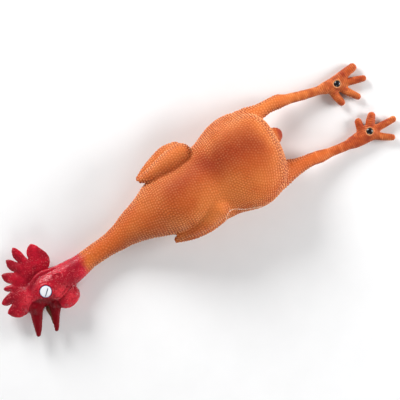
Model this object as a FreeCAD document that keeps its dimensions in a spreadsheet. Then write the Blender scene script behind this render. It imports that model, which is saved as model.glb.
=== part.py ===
import FreeCAD, Part
import Sketcher
import math
import os

# A full-size latex rubber chicken, lying on its back with its head turned to one side.
# +X runs from the head to the feet, +Y is the bird's left, +Z is up, through the belly.
# The origin is on the small flat patch that the back rests on, below the middle of the trunk.

V = FreeCAD.Vector
doc = FreeCAD.newDocument("rubber_chicken")

# ---------------------------------------------------------------- driving dimensions (mm, degrees)

dims = doc.addObject("Spreadsheet::Sheet", "Dims")
DIMENSIONS = [
    ("body_length", 305.0, "from the head joint to the rump"),
    ("trunk_half_width", 62.5, "widest half width of the trunk"),
    ("trunk_half_depth", 38.5, "deepest half depth of the trunk"),
    ("wall", 2.2, "thickness of the latex skin"),
    ("head_length", 86.0, "from the head joint to the forehead"),
    ("head_half_width", 21.5, "half of the face, from crown to jaw"),
    ("head_half_depth", 18.0, "half of the head from cheek to cheek"),
    ("head_height", 18.8, "height of the head's middle plane above the floor"),
    ("comb_reach", 63.5, "from the middle of the face to the longest comb tip"),
    ("comb_thickness", 4.6, "thickness of the comb sheet"),
    ("beak_length", 40.0, "length of each half of the beak"),
    ("beak_half_width", 13.0, "half width of the upper beak at its root"),
    ("wattle_size", 13.0, "half length of a wattle lobe"),
    ("eye_radius", 7.5, "radius of the stuck-on eye disc"),
    ("eye_thickness", 2.4, "thickness of the eye disc at its middle"),
    ("eye_socket_depth", 2.0, "how deep the eye disc sits in the cheek"),
    ("wing_length", 82.0, "from wing tip to elbow"),
    ("wing_half_width", 15.5, "half width of the folded wing"),
    ("wing_half_depth", 18.0, "half depth of the folded wing"),
    ("tail_length", 22.0, "length of the tail nub"),
    ("leg_length", 121.0, "from the thigh's root to the foot"),
    ("leg_half_width", 16.0, "half width of the thigh's root"),
    ("leg_half_depth", 15.8, "half depth of the thigh's root"),
    ("foot_height", 6.2, "height of the feet's middle plane above the floor"),
    ("palm_length", 33.0, "from the ankle to between the toes"),
    ("palm_half_width", 11.0, "half width of the palm"),
    ("palm_half_depth", 5.4, "half thickness of the palm"),
    ("toe_radius", 5.2, "radius of a toe at its root"),
    ("rivet_cap_radius", 4.1, "radius of the domed rivet cap"),
    ("rivet_cap_height", 2.6, "height of the dome"),
    ("rivet_post_radius", 1.6, "radius of the rivet's post"),
    ("rivet_post_length", 9.1, "from under the cap to the washer's far face"),
    ("washer_radius", 3.8, "radius of the rivet's washer"),
    ("washer_thickness", 1.0, "thickness of the rivet's washer"),
]
VALUE = {}
for row, (alias, value, meaning) in enumerate(DIMENSIONS, start=1):
    dims.set(f"A{row}", meaning)
    dims.set(f"B{row}", str(value))
    dims.setAlias(f"B{row}", alias)
    VALUE[alias] = value
doc.recompute()

# Play between parts that fit together, and a length that reaches past the whole object.
EYE_PLAY = 0.05
POST_PLAY = 0.03
SEAT_PLAY = 0.1
REACH = 400.0

# Where the skin is divided into firm lengths and flexing lengths, along X.
HEAD_JOINT = (-220.0, -204.0)
NECK_JOINT = (-172.0, -152.0)
SHOULDER_JOINT = (-129.0, -103.0)
HIP_JOINT = (80.0, 97.0)
HOCK_JOINT = (107.0, 121.0)
ANKLE_JOINT = (158.0, 171.0)

# An ellipse's longer radius lies on its own X. The first turn stands it across +X with the longer radius along Y,
# for what is wider than deep, and the second with the longer radius along Z, for what is deeper than wide.
ACROSS_X = FreeCAD.Rotation(V(1, 1, 1), 120)
ACROSS_X_UPRIGHT = FreeCAD.Rotation(V(1, 0, 0), 90) * ACROSS_X


# ---------------------------------------------------------------- helpers

def section(name, place, longer, shorter, turn, stand=ACROSS_X):
    """One elliptical section. place and the two radii are expressions; turn swings it about Z."""
    ring = doc.addObject("Part::Ellipse", name)
    ring.Placement = FreeCAD.Placement(V(), FreeCAD.Rotation(V(0, 0, 1), turn) * stand)
    ring.setExpression("MajorRadius", longer)
    ring.setExpression("MinorRadius", shorter)
    for axis, expression in zip("xyz", place):
        ring.setExpression(f"Placement.Base.{axis}", expression)
    return ring


def loft(name, sections):
    """A closed solid through its sections."""
    skin = doc.addObject("Part::Loft", name)
    skin.Sections = sections
    skin.Solid = True
    skin.Ruled = False
    return skin


def tube(name, start, lengths, stations, inset=None, upright=False):
    """A loft along X from start. lengths names the dimensions for (along, aside, rise, width, depth), and each
    station holds the five shares of them. inset, an expression, makes the inner surface that far inside."""
    less = f" - {inset}" if inset else ""
    rings = []
    for number, (along, aside, rise, wide, deep) in enumerate(stations):
        last = less if number == len(stations) - 1 else ""
        place = (
            f"{start[0]} + Dims.{lengths[0]} * {along}{last}",
            f"{start[1]} + Dims.{lengths[1]} * {aside}",
            f"{start[2]} + Dims.{lengths[2]} * {rise}",
        )
        width = f"Dims.{lengths[3]} * {wide}{less}"
        depth = f"Dims.{lengths[4]} * {deep}{less}"
        if upright:
            ring = section(f"{name}_ring_{number}", place, depth, width, 0, ACROSS_X_UPRIGHT)
        else:
            ring = section(f"{name}_ring_{number}", place, width, depth, 0)
        rings.append(ring)
    return loft(name, rings)


def slab(name, low, high):
    """A box across the whole object from x = low to x = high, used to divide the skin."""
    box = doc.addObject("Part::Box", name)
    box.Length = high - low
    box.Width = REACH
    box.Height = REACH / 2
    box.Placement.Base = V(low, -REACH / 2, -REACH / 8)
    return box


def cut(name, base, tool):
    result = doc.addObject("Part::Cut", name)
    result.Base = base
    result.Tool = tool
    return result


def common(name, base, tool):
    result = doc.addObject("Part::Common", name)
    result.Base = base
    result.Tool = tool
    return result


def fuse(name, shapes):
    result = doc.addObject("Part::MultiFuse", name)
    result.Shapes = shapes
    return result


def origin_plane(body, role):
    return [feature for feature in body.Origin.OriginFeatures if feature.Role == role][0]


def closed_sketch(body, name, plane, edges):
    """A sketch on one of the body's origin planes, its edges joined end to end."""
    sketch = body.newObject("Sketcher::SketchObject", name)
    sketch.AttachmentSupport = [(origin_plane(body, plane), "")]
    sketch.MapMode = "FlatFace"
    for edge in edges:
        sketch.addGeometry(edge, False)
    return sketch


def revolved(body, name, points, binding):
    """A body turned about its own Z from a profile of straight lines that starts at the origin. binding maps a
    line's number to the dimension that sets its length."""
    count = len(points)
    edges = [Part.LineSegment(V(*points[i], 0), V(*points[(i + 1) % count], 0)) for i in range(count)]
    profile = closed_sketch(body, f"{name}_profile", "XZ_Plane", edges)
    for number in range(count):
        profile.addConstraint(Sketcher.Constraint("Coincident", number, 2, (number + 1) % count, 1))
    profile.addConstraint(Sketcher.Constraint("Coincident", 0, 1, -1, 1))
    for number, (first, second) in enumerate(zip(points, points[1:] + points[:1])):
        if first[1] == second[1]:
            profile.addConstraint(Sketcher.Constraint("Horizontal", number))
        elif first[0] == second[0]:
            profile.addConstraint(Sketcher.Constraint("Vertical", number))
    for number, alias in binding.items():
        index = profile.addConstraint(Sketcher.Constraint("Distance", number, VALUE[alias]))
        profile.setExpression(f"Constraints[{index}]", f"Dims.{alias}")
    turn = body.newObject("PartDesign::Revolution", f"{name}_turn")
    turn.Profile = profile
    turn.ReferenceAxis = (profile, ["V_Axis"])
    turn.Angle = 360
    return turn


# ---------------------------------------------------------------- the hollow body: neck and trunk

BODY_DIMENSIONS = ("body_length", "trunk_half_width", "trunk_half_depth", "trunk_half_width", "trunk_half_depth")
BODY_STATIONS = [
    (-0.7213, -0.440, 0.470, 0.264, 0.370),
    (-0.690, -0.410, 0.430, 0.232, 0.338),
    (-0.620, -0.345, 0.350, 0.203, 0.320),
    (-0.560, -0.305, 0.345, 0.208, 0.325),
    (-0.490, -0.255, 0.390, 0.256, 0.364),
    (-0.430, -0.184, 0.506, 0.328, 0.470),
    (-0.360, -0.144, 0.650, 0.432, 0.606),
    (-0.295, -0.096, 0.790, 0.592, 0.760),
    (-0.200, -0.072, 0.910, 0.800, 0.895),
    (-0.065, -0.056, 0.961, 0.888, 0.965),
    (0.030, 0.000, 0.974, 0.968, 1.000),
    (0.100, 0.024, 0.974, 1.000, 1.000),
    (0.165, 0.016, 0.956, 0.944, 0.940),
    (0.230, 0.016, 0.910, 0.704, 0.780),
    (0.262, 0.016, 0.896, 0.448, 0.520),
    (0.280, 0.016, 0.896, 0.192, 0.234),
]


def make_body():
    """The neck and trunk as one hollow skin, pressed flat on the back, then divided along X."""
    outer = tube("body_outer", (0, 0, 0), BODY_DIMENSIONS, BODY_STATIONS)
    inner = tube("body_inner", (0, 0, 0), BODY_DIMENSIONS, BODY_STATIONS, inset="Dims.wall")
    below = doc.addObject("Part::Box", "below_floor")
    below.Length = 2 * REACH
    below.Width = REACH
    below.Height = REACH / 8
    below.Placement.Base = V(-REACH, -REACH / 2, -REACH / 8)
    pressed = cut("body_pressed", outer, below)
    shell = cut("body_shell", pressed, inner)
    trunk_end = VALUE["body_length"]
    lengths = [
        ("head_flexure", HEAD_JOINT),
        ("neck_upper_skin", (HEAD_JOINT[1], NECK_JOINT[0])),
        ("neck_flexure", NECK_JOINT),
        ("neck_lower_skin", (NECK_JOINT[1], SHOULDER_JOINT[0])),
        ("shoulder_flexure", SHOULDER_JOINT),
        ("trunk_skin", (SHOULDER_JOINT[1], trunk_end)),
    ]
    for name, (low, high) in lengths:
        common(name, shell, slab(f"{name}_slab", low, high))
    return outer, [name for name, _ in lengths]


# ---------------------------------------------------------------- wings and tail

WING_DIMENSIONS = ("wing_length", "wing_half_width", "wing_half_depth", "wing_half_width", "wing_half_depth")
LEFT_WING_STATIONS = [
    (0.000, -0.35, -0.10, 0.14, 0.14),
    (0.110, -0.30, -0.05, 0.56, 0.50),
    (0.380, -0.26, 0.05, 0.90, 0.80),
    (0.680, 0.08, 0.10, 1.00, 1.00),
    (0.870, 0.14, 0.05, 0.74, 0.78),
    (0.970, 0.20, 0.00, 0.26, 0.28),
]
RIGHT_WING_STATIONS = [
    (0.000, 0.13, -0.10, 0.10, 0.10),
    (0.120, -0.02, -0.05, 0.44, 0.42),
    (0.380, -0.12, 0.00, 0.62, 0.76),
    (0.650, -0.05, 0.05, 0.76, 0.90),
    (0.860, 0.13, 0.05, 0.80, 0.84),
    (0.960, 0.42, 0.00, 0.36, 0.36),
]
TAIL_ROOT = (72.0, 8.0, 26.0)


def make_wing(name, start, stations, body):
    """A folded wing: a hollow lump that stands on the trunk's skin."""
    outer = tube(f"{name}_outer", start, WING_DIMENSIONS, stations, upright=True)
    inner = tube(f"{name}_inner", start, WING_DIMENSIONS, stations[1:-1], "Dims.wall", upright=True)
    shell = cut(f"{name}_shell", outer, inner)
    cut(name, shell, body)
    return [name]


def make_tail(body):
    """The tail nub, low on the rump between the thighs."""
    stations = [
        (-0.30, -0.10, 0.10, 0.62, 0.45),
        (0.25, 0.05, 0.04, 0.46, 0.34),
        (0.75, 0.16, 0.00, 0.25, 0.20),
        (1.00, 0.18, 0.00, 0.09, 0.08),
    ]
    nub = tube("tail_nub_whole", TAIL_ROOT, ("tail_length",) * 5, stations)
    cut("tail_nub", nub, body)
    return ["tail_nub"]


# ---------------------------------------------------------------- the head

FACE = V(-265.0, -29.0, 0)              # middle of the face, seen from the side
EYE_PLACE = V(-258.8, -34.5, 0)
MOUTH_CORNER = (-270.0, -49.0)
MOUTH_RADII = (6.0, 5.5, 5.5)
WATTLE_PLACE = (-239.0, -54.0)
WATTLE_SPREAD = 5.0                     # from the head's middle plane to the middle of a wattle


def make_skull():
    """The head's own skin, with a shallow socket on each cheek for the eye."""
    lengths = ("head_length", "head_half_width", "head_half_depth", "head_half_width", "head_half_depth")
    stations = [
        (0.000, 0.070, -0.04, 0.767, 0.79),
        (-0.175, 0.000, 0.00, 0.860, 0.91),
        (-0.350, 0.000, 0.00, 0.977, 1.00),
        (-0.580, 0.000, 0.00, 1.000, 0.98),
        (-0.755, -0.046, 0.00, 0.884, 0.82),
        (-0.906, -0.093, 0.00, 0.651, 0.52),
        (-0.988, -0.093, 0.00, 0.325, 0.22),
    ]
    start = (HEAD_JOINT[0], FACE.y, "Dims.head_height")
    outer = tube("head_outer", start, lengths, stations)
    inner = tube("head_inner", start, lengths, stations[:-1], inset="Dims.wall")
    whole = cut("head_shell", outer, inner)
    return outer, whole


def make_eyes(skull):
    """Two stuck-on discs, one in each cheek, and the sockets that they sit in."""
    radius = VALUE["eye_radius"]
    thick = VALUE["eye_thickness"]
    rim = 0.35 * thick
    profile = [(0, 0), (radius, 0), (radius, rim), (0.70 * radius, 0.80 * thick), (0, thick)]
    seat = VALUE["head_half_depth"] - VALUE["eye_socket_depth"]
    tools = []
    for name, sign in (("left_eye", 1), ("right_eye", -1)):
        eye = doc.addObject("PartDesign::Body", name)
        revolved(eye, name, profile, {0: "eye_radius"})
        height = VALUE["head_height"] + sign * seat
        flip = FreeCAD.Rotation(V(1, 0, 0), 0 if sign > 0 else 180)
        eye.Placement = FreeCAD.Placement(V(EYE_PLACE.x, EYE_PLACE.y, height), flip)
        socket = doc.addObject("Part::Cylinder", f"{name}_socket")
        socket.setExpression("Radius", f"Dims.eye_radius + {EYE_PLAY}")
        socket.setExpression("Height", "Dims.head_half_depth")
        socket.Placement = FreeCAD.Placement(V(EYE_PLACE.x, EYE_PLACE.y, height), flip)
        tools.append(socket)
    cut("head_skin", skull, fuse("eye_sockets", tools))
    return ["head_skin", "left_eye", "right_eye"]


# Each comb point as (tip's direction, tip's reach, direction and reach of the notch after it), seen from the
# side and turning from the nape to the brow; reach is a share of comb_reach.
COMB_POINTS = [
    (76.0, 0.91, 86.0, 0.65),
    (96.0, 1.00, 107.0, 0.75),
    (111.0, 0.89, 124.0, 0.70),
    (129.0, 0.80, 145.0, 0.69),
    (155.0, 0.70, 160.0, 0.61),
    (173.0, 0.81, 181.0, 0.69),
    (190.0, 0.80, 208.0, 0.66),
]
COMB_NAPE = (40.0, 0.42)
COMB_BACK = (52.0, 0.71)
COMB_BOWS = (0.06, 0.09)                # how far the flanks of the points bow, as shares of their lengths


def polar(direction, share):
    angle = math.radians(direction)
    reach = share * VALUE["comb_reach"]
    return V(FACE.x + reach * math.cos(angle), FACE.y + reach * math.sin(angle), 0)


def make_comb(head_outer):
    """The comb, a flat sheet in the head's middle plane with seven points."""
    comb = doc.addObject("PartDesign::Body", "comb_whole")
    outline = [polar(*COMB_NAPE), polar(*COMB_BACK)]
    for tip_direction, tip_reach, notch_direction, notch_reach in COMB_POINTS:
        outline += [polar(tip_direction, tip_reach), polar(notch_direction, notch_reach)]
    outline.append(V(FACE.x, FACE.y, 0))
    edges = []
    for number, point in enumerate(outline):
        following = outline[(number + 1) % len(outline)]
        if number in (0, len(outline) - 2, len(outline) - 1):
            edges.append(Part.LineSegment(point, following))
            continue
        chord = following - point
        outward = V(chord.y, -chord.x, 0)
        bow = (point + following) * 0.5 + outward * COMB_BOWS[number % 2]
        edges.append(Part.Arc(point, bow, following))
    sheet = closed_sketch(comb, "comb_outline", "XY_Plane", edges)
    pad = comb.newObject("PartDesign::Pad", "comb_pad")
    pad.Profile = sheet
    pad.Midplane = True
    pad.setExpression("Length", "Dims.comb_thickness")
    comb.setExpression("Placement.Base.z", "Dims.head_height")
    cut("comb", comb, head_outer)
    return ["comb"]


def make_beak(name, root, stations, head_outer):
    """Half of the beak: a loft that leaves the face towards -Y, with its sections swung to face that way."""
    lengths = ("beak_length", "beak_length", "beak_half_width", "beak_half_width", "beak_half_width")
    rings = []
    for number, (aside, out, wide, deep) in enumerate(stations):
        place = (
            f"{root[0]} + Dims.{lengths[0]} * {aside}",
            f"{root[1]} - Dims.{lengths[1]} * {out}",
            "Dims.head_height",
        )
        width = f"Dims.{lengths[3]} * {wide}"
        depth = f"Dims.{lengths[4]} * {deep}"
        rings.append(section(f"{name}_ring_{number}", place, width, depth, -90))
    whole = loft(f"{name}_whole", rings)
    cut(name, whole, head_outer)
    return whole


def make_face(head_outer):
    """Beak, the lining in its corner, and the two wattle lobes under the jaw."""
    upper = make_beak(
        "upper_beak",
        (-278.5, -41.0),
        [(0.05, -0.10, 1.00, 0.90), (-0.09, 0.42, 0.66, 0.62), (-0.20, 0.68, 0.45, 0.44),
         (-0.30, 0.90, 0.29, 0.28), (-0.32, 1.05, 0.12, 0.12)],
        head_outer,
    )
    lower = make_beak(
        "lower_beak",
        (-258.5, -44.0),
        [(0.05, -0.10, 0.66, 0.62), (-0.02, 0.30, 0.60, 0.55), (-0.12, 0.56, 0.39, 0.38),
         (-0.22, 0.82, 0.29, 0.27), (-0.24, 1.02, 0.12, 0.12)],
        head_outer,
    )
    jaws = fuse("face_and_beak", [head_outer, upper, lower])
    lining = doc.addObject("Part::Ellipsoid", "mouth_lining_whole")
    lining.Radius1, lining.Radius2, lining.Radius3 = MOUTH_RADII
    lining.Angle1 = -90
    lining.Angle2 = 90
    lining.Placement.Base = V(*MOUTH_CORNER, VALUE["head_height"])
    cut("mouth_lining", lining, jaws)
    names = ["upper_beak", "lower_beak", "mouth_lining"]
    neck_and_jaws = fuse("neck_and_jaws", [head_outer, lower, doc.getObject("body_outer")])
    for name, sign in (("left_wattle", 1), ("right_wattle", -1)):
        lobe = doc.addObject("Part::Ellipsoid", f"{name}_whole")
        lobe.setExpression("Radius1", "Dims.wattle_size * 0.36")
        lobe.setExpression("Radius2", "Dims.wattle_size")
        lobe.setExpression("Radius3", "Dims.wattle_size * 0.92")
        lobe.Angle1 = -90
        lobe.Angle2 = 90
        lobe.Placement.Base = V(*WATTLE_PLACE, VALUE["head_height"] + sign * WATTLE_SPREAD)
        cut(name, lobe, neck_and_jaws)
        names.append(name)
    return names


# ---------------------------------------------------------------- legs and feet

LEG_DIMENSIONS = ("leg_length", "leg_half_width", "leg_half_depth", "leg_half_width", "leg_half_depth")
LEFT_LEG_STATIONS = [
    (0.00, 0.00, 1.40, 1.00, 1.00),
    (0.10, 0.22, 1.33, 0.80, 0.80),
    (0.22, 0.24, 1.16, 0.62, 0.62),
    (0.33, 0.31, 0.90, 0.55, 0.55),
    (0.45, 0.28, 0.66, 0.55, 0.54),
    (0.56, 0.10, 0.44, 0.44, 0.44),
    (0.72, -0.16, 0.20, 0.41, 0.41),
    (0.89, -0.38, 0.02, 0.38, 0.38),
    (1.00, -0.45, -0.05, 0.44, 0.34),
]
RIGHT_LEG_STATIONS = [
    (0.00, 0.00, 1.40, 1.05, 1.00),
    (0.10, 0.06, 1.33, 1.03, 0.91),
    (0.23, 0.10, 1.12, 0.81, 0.74),
    (0.35, 0.06, 0.88, 0.60, 0.60),
    (0.47, 0.05, 0.66, 0.53, 0.53),
    (0.56, -0.04, 0.44, 0.52, 0.50),
    (0.72, -0.15, 0.20, 0.40, 0.40),
    (0.89, -0.24, 0.02, 0.39, 0.38),
    (1.00, -0.26, -0.05, 0.47, 0.34),
]

PALM_DIMENSIONS = ("palm_length", "palm_half_width", "palm_half_depth", "palm_half_width", "palm_half_depth")
LEFT_PALM_STATIONS = [
    (0.00, 0.00, 0.20, 0.56, 0.96),
    (0.16, -0.03, 0.08, 0.72, 0.98),
    (0.36, -0.13, 0.00, 0.92, 1.00),
    (0.56, -0.18, 0.00, 0.97, 1.00),
    (0.74, -0.22, 0.00, 0.80, 0.92),
    (0.88, -0.27, -0.04, 0.42, 0.66),
]
RIGHT_PALM_STATIONS = [
    (0.00, 0.00, 0.20, 0.62, 0.96),
    (0.22, 0.03, 0.08, 0.76, 0.98),
    (0.46, 0.09, 0.00, 0.95, 1.00),
    (0.68, 0.11, 0.00, 1.00, 1.00),
    (0.88, 0.07, 0.00, 0.84, 0.92),
    (1.03, 0.03, -0.04, 0.44, 0.66),
]

# Each toe as (name, root, direction in degrees from +X, length, root's width share), seen from above.
LEFT_TOES = [
    ("hind_toe", (175.5, 27.0), -80.0, 23.0, 1.00),
    ("inner_toe", (188.0, 24.0), -54.0, 27.0, 0.94),
    ("middle_toe", (194.0, 28.5), -13.0, 28.5, 0.92),
    ("outer_toe", (189.0, 35.5), 14.0, 27.0, 1.06),
]
RIGHT_TOES = [
    ("hind_toe", (184.5, -36.5), 82.0, 18.5, 1.06),
    ("inner_toe", (194.0, -36.0), 48.0, 20.5, 1.02),
    ("middle_toe", (203.5, -41.0), 3.0, 29.0, 0.92),
    ("outer_toe", (199.0, -49.0), -32.0, 25.0, 0.92),
]
TOE_STATIONS = [(0.00, 0.96), (0.45, 1.00), (0.78, 0.88), (0.93, 0.62), (1.00, 0.26)]
TOE_DROP = 0.6                          # the toes' middle lines lie this far below the palms'
CAP_SINK = 0.6                          # the rivet's cap is let this far into the palm


def make_leg(side, start, stations, body):
    """The leg, hollow down to mid shank and solid below, divided along X into six lengths."""
    outer = tube(f"{side}_leg_outer", start, LEG_DIMENSIONS, stations)
    inner = tube(f"{side}_leg_inner", start, LEG_DIMENSIONS, stations[:-2], inset="Dims.wall")
    shell = cut(f"{side}_leg_shell", outer, inner)
    free = cut(f"{side}_leg_free", shell, body)
    lengths = [
        ("thigh_root", (start[0], HIP_JOINT[0])),
        ("hip_flexure", HIP_JOINT),
        ("thigh_skin", (HIP_JOINT[1], HOCK_JOINT[0])),
        ("hock_flexure", HOCK_JOINT),
        ("shank_skin", (HOCK_JOINT[1], ANKLE_JOINT[0])),
        ("ankle_flexure", ANKLE_JOINT),
    ]
    for name, (low, high) in lengths:
        common(f"{side}_{name}", free, slab(f"{side}_{name}_slab", low, high))
    return [f"{side}_{name}" for name, _ in lengths]


def make_toe(name, root, direction, length, width, palm):
    """One toe: a solid finger lying flat, blunt at its tip."""
    swing = math.radians(direction)
    rings = []
    for number, (along, share) in enumerate(TOE_STATIONS):
        place = (
            f"{root[0] + along * length * math.cos(swing)}",
            f"{root[1] + along * length * math.sin(swing)}",
            f"Dims.foot_height - {TOE_DROP}",
        )
        width_share = width * share
        rings.append(section(
            f"{name}_ring_{number}",
            place,
            f"Dims.toe_radius * {width_share}",
            f"Dims.toe_radius * {width_share * 0.97}",
            direction,
        ))
    whole = loft(f"{name}_whole", rings)
    cut(name, whole, palm)


def make_rivet(side, centre):
    """The domed rivet through the palm and the washer under it, and the hole that they need."""
    seat = VALUE["foot_height"] + VALUE["palm_half_depth"] - CAP_SINK
    cap = VALUE["rivet_cap_radius"]
    dome = VALUE["rivet_cap_height"]
    post = VALUE["rivet_post_radius"]
    depth = VALUE["rivet_post_length"]
    thick = VALUE["washer_thickness"]
    past = VALUE["palm_half_depth"]
    rivet = doc.addObject("PartDesign::Body", f"{side}_rivet")
    low = seat - depth
    profile = [(0, 0), (post, 0), (post, depth), (cap, depth), (cap, depth + 0.25 * dome),
               (0.80 * cap, depth + 0.68 * dome), (0.45 * cap, depth + 0.93 * dome), (0, depth + dome)]
    revolved(rivet, f"{side}_rivet", profile, {0: "rivet_post_radius", 1: "rivet_post_length"})
    rivet.Placement.Base = V(centre[0], centre[1], low)
    washer = doc.addObject("Part::Cut", f"{side}_rivet_washer")
    disc = doc.addObject("Part::Cylinder", f"{side}_washer_disc")
    disc.setExpression("Radius", "Dims.washer_radius")
    disc.setExpression("Height", "Dims.washer_thickness")
    hole = doc.addObject("Part::Cylinder", f"{side}_washer_hole")
    hole.setExpression("Radius", f"Dims.rivet_post_radius + {POST_PLAY}")
    hole.setExpression("Height", "Dims.washer_thickness")
    washer.Base = disc
    washer.Tool = hole
    disc.Placement.Base = V(centre[0], centre[1], low)
    hole.Placement.Base = V(centre[0], centre[1], low)
    tools = []
    for name, radius, bottom, height in (
        ("post_hole", post + POST_PLAY, low - past, depth + 2 * past),
        ("cap_seat", cap + SEAT_PLAY, seat, past),
        ("washer_seat", VALUE["washer_radius"] + SEAT_PLAY, low + thick - past, past),
    ):
        tool = doc.addObject("Part::Cylinder", f"{side}_{name}")
        tool.Radius = radius
        tool.Height = height
        tool.Placement.Base = V(centre[0], centre[1], bottom)
        tools.append(tool)
    return fuse(f"{side}_rivet_room", tools), [f"{side}_rivet", f"{side}_rivet_washer"]


def make_foot(side, start, stations, rivet_centre, toes):
    """The solid palm with its rivet hole, and four toes."""
    palm = tube(f"{side}_palm_whole", start, PALM_DIMENSIONS, stations)
    room, names = make_rivet(side, rivet_centre)
    cut(f"{side}_palm", palm, room)
    clear = fuse(f"{side}_palm_and_room", [palm, room])
    for toe, root, direction, length, width in toes:
        make_toe(f"{side}_{toe}", root, direction, length, width, clear)
        names.append(f"{side}_{toe}")
    return names + [f"{side}_palm"]


# ---------------------------------------------------------------- assembly and export

def make_chicken():
    body, names = make_body()
    names += make_wing("left_wing", (-96.0, 42.0, 42.0), LEFT_WING_STATIONS, body)
    names += make_wing("right_wing", (-88.0, -50.0, 34.0), RIGHT_WING_STATIONS, body)
    names += make_tail(body)
    head_outer, head_whole = make_skull()
    names += make_eyes(head_whole)
    names += make_comb(head_outer)
    names += make_face(head_outer)
    names += make_leg("left", (54.0, 41.0, 8.5), LEFT_LEG_STATIONS, body)
    names += make_leg("right", (54.0, -39.0, 8.5), RIGHT_LEG_STATIONS, body)
    ankle = ANKLE_JOINT[1]
    names += make_foot("left", (ankle, 34.0, "Dims.foot_height"), LEFT_PALM_STATIONS, (184.5, 32.0), LEFT_TOES)
    names += make_foot("right", (ankle, -43.3, "Dims.foot_height"), RIGHT_PALM_STATIONS, (194.0, -40.0), RIGHT_TOES)
    return names


def export(names):
    """Check every object and every sub-part, then write one STEP file for each."""
    doc.recompute()
    failed = [item.Name for item in doc.Objects if {"Invalid", "Error"} & set(item.State)]
    if failed:
        raise SystemExit(f"failed objects: {failed}")
    os.makedirs("parts", exist_ok=True)
    for name in names:
        piece = doc.getObject(name)
        piece.Label = name
        shape = piece.Shape
        if shape.isNull() or not shape.isValid() or not shape.Solids:
            raise SystemExit(f"{name} has no valid solid")
        shape.exportStep(f"parts/{name}.step")
        print(f"{name:24s} {len(shape.Solids)} solid {shape.Volume / 1000:8.2f} cm3")


export(make_chicken())
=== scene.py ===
import math

import bpy
import numpy as np
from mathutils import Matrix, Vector, kdtree


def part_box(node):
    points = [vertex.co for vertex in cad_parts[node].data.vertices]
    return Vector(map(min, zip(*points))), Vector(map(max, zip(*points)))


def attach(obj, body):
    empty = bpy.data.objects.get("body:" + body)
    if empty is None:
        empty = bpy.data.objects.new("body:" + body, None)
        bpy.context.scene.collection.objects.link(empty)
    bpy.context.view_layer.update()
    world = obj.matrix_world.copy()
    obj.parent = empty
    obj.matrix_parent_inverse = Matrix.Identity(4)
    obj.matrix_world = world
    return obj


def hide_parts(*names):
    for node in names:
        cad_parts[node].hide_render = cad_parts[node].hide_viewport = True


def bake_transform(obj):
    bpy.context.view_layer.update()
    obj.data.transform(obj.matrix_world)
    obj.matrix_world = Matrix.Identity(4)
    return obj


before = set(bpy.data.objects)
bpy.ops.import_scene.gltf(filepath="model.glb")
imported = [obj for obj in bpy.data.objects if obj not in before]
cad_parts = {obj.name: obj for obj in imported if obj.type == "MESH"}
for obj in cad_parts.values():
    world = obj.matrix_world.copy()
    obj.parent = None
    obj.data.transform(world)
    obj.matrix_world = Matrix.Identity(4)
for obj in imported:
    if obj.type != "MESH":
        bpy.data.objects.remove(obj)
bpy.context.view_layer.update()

MM = 0.001                                  # the sculpting below is done in millimetres
STEP = 0.72         # spacing of the clay's grid
FAR = 12.0                                  # distances beyond this are not kept
MIDPLANE = 18.8                             # height of the plane that the flat comb lies in
SIDES = ("left", "right")


def box_mm(*nodes):
    """Lowest and highest corner of some CAD nodes together, in millimetres."""
    corners = [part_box(node) for node in nodes]
    low = np.min([np.array(pair[0]) for pair in corners], axis=0)
    high = np.max([np.array(pair[1]) for pair in corners], axis=0)
    return low / MM, high / MM


# ------------------------------ clay: a block of distances that shapes are added to

def soft_min(a, b, soft):
    """The smaller of two distances, with the crease between them filled to about the radius soft."""
    near = np.maximum(soft - np.abs(a - b), 0.0) / soft
    return np.minimum(a, b) - near * near * (soft / 4.0)


class Clay:
    """Distance to the surface at the points of a grid, negative inside."""

    def __init__(self, low, high, step):
        self.low = np.array(low, np.float32)
        self.step = step
        self.axes = [np.arange(a, b, step, dtype=np.float32) for a, b in zip(low, high)]
        self.distance = np.full([len(axis) for axis in self.axes], FAR, np.float32)

    def window(self, low, high):
        spans = []
        for axis, a, b in zip(self.axes, low, high):
            spans.append(slice(*np.searchsorted(axis, (a - FAR, b + FAR))))
        x, y, z = (axis[span] for axis, span in zip(self.axes, spans))
        return tuple(spans), x[:, None, None], y[None, :, None], z[None, None, :]

    def add(self, shape, soft):
        place, x, y, z = self.window(shape.low, shape.high)
        self.distance[place] = soft_min(self.distance[place], shape.at(x, y, z), soft)

    def carve(self, shape, soft):
        place, x, y, z = self.window(shape.low, shape.high)
        self.distance[place] = -soft_min(-self.distance[place], shape.at(x, y, z), soft)

    def sample(self, points):
        """Distance at any points, by interpolation."""
        where = (points - self.low) / self.step
        limit = np.array(self.distance.shape) - 2
        cell = np.clip(where.astype(np.int64), 0, limit)
        f = (where - cell).astype(np.float32)
        _, ny, nz = self.distance.shape
        base = (cell[:, 0] * ny + cell[:, 1]) * nz + cell[:, 2]
        flat = self.distance.reshape(-1)
        fx, fy, fz = f[:, 0], f[:, 1], f[:, 2]
        total = 0.0
        for i, wx in ((0, 1 - fx), (1, fx)):
            for j, wy in ((0, 1 - fy), (1, fy)):
                for k, wz in ((0, 1 - fz), (1, fz)):
                    total = total + wx * wy * wz * flat[base + (i * ny + j) * nz + k]
        return total

    def slope(self, points):
        """Direction in which the distance grows, and how fast."""
        reach = self.step * 0.9
        parts = []
        for axis in range(3):
            nudge = np.zeros(3, np.float32)
            nudge[axis] = reach
            parts.append((self.sample(points + nudge) - self.sample(points - nudge)) / (2 * reach))
        return np.stack(parts, axis=1)


class Shape:
    """A solid as a distance function and the box that holds it."""

    def __init__(self, at, low, high):
        self.at = at
        self.low = np.array(low, float)
        self.high = np.array(high, float)


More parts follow.
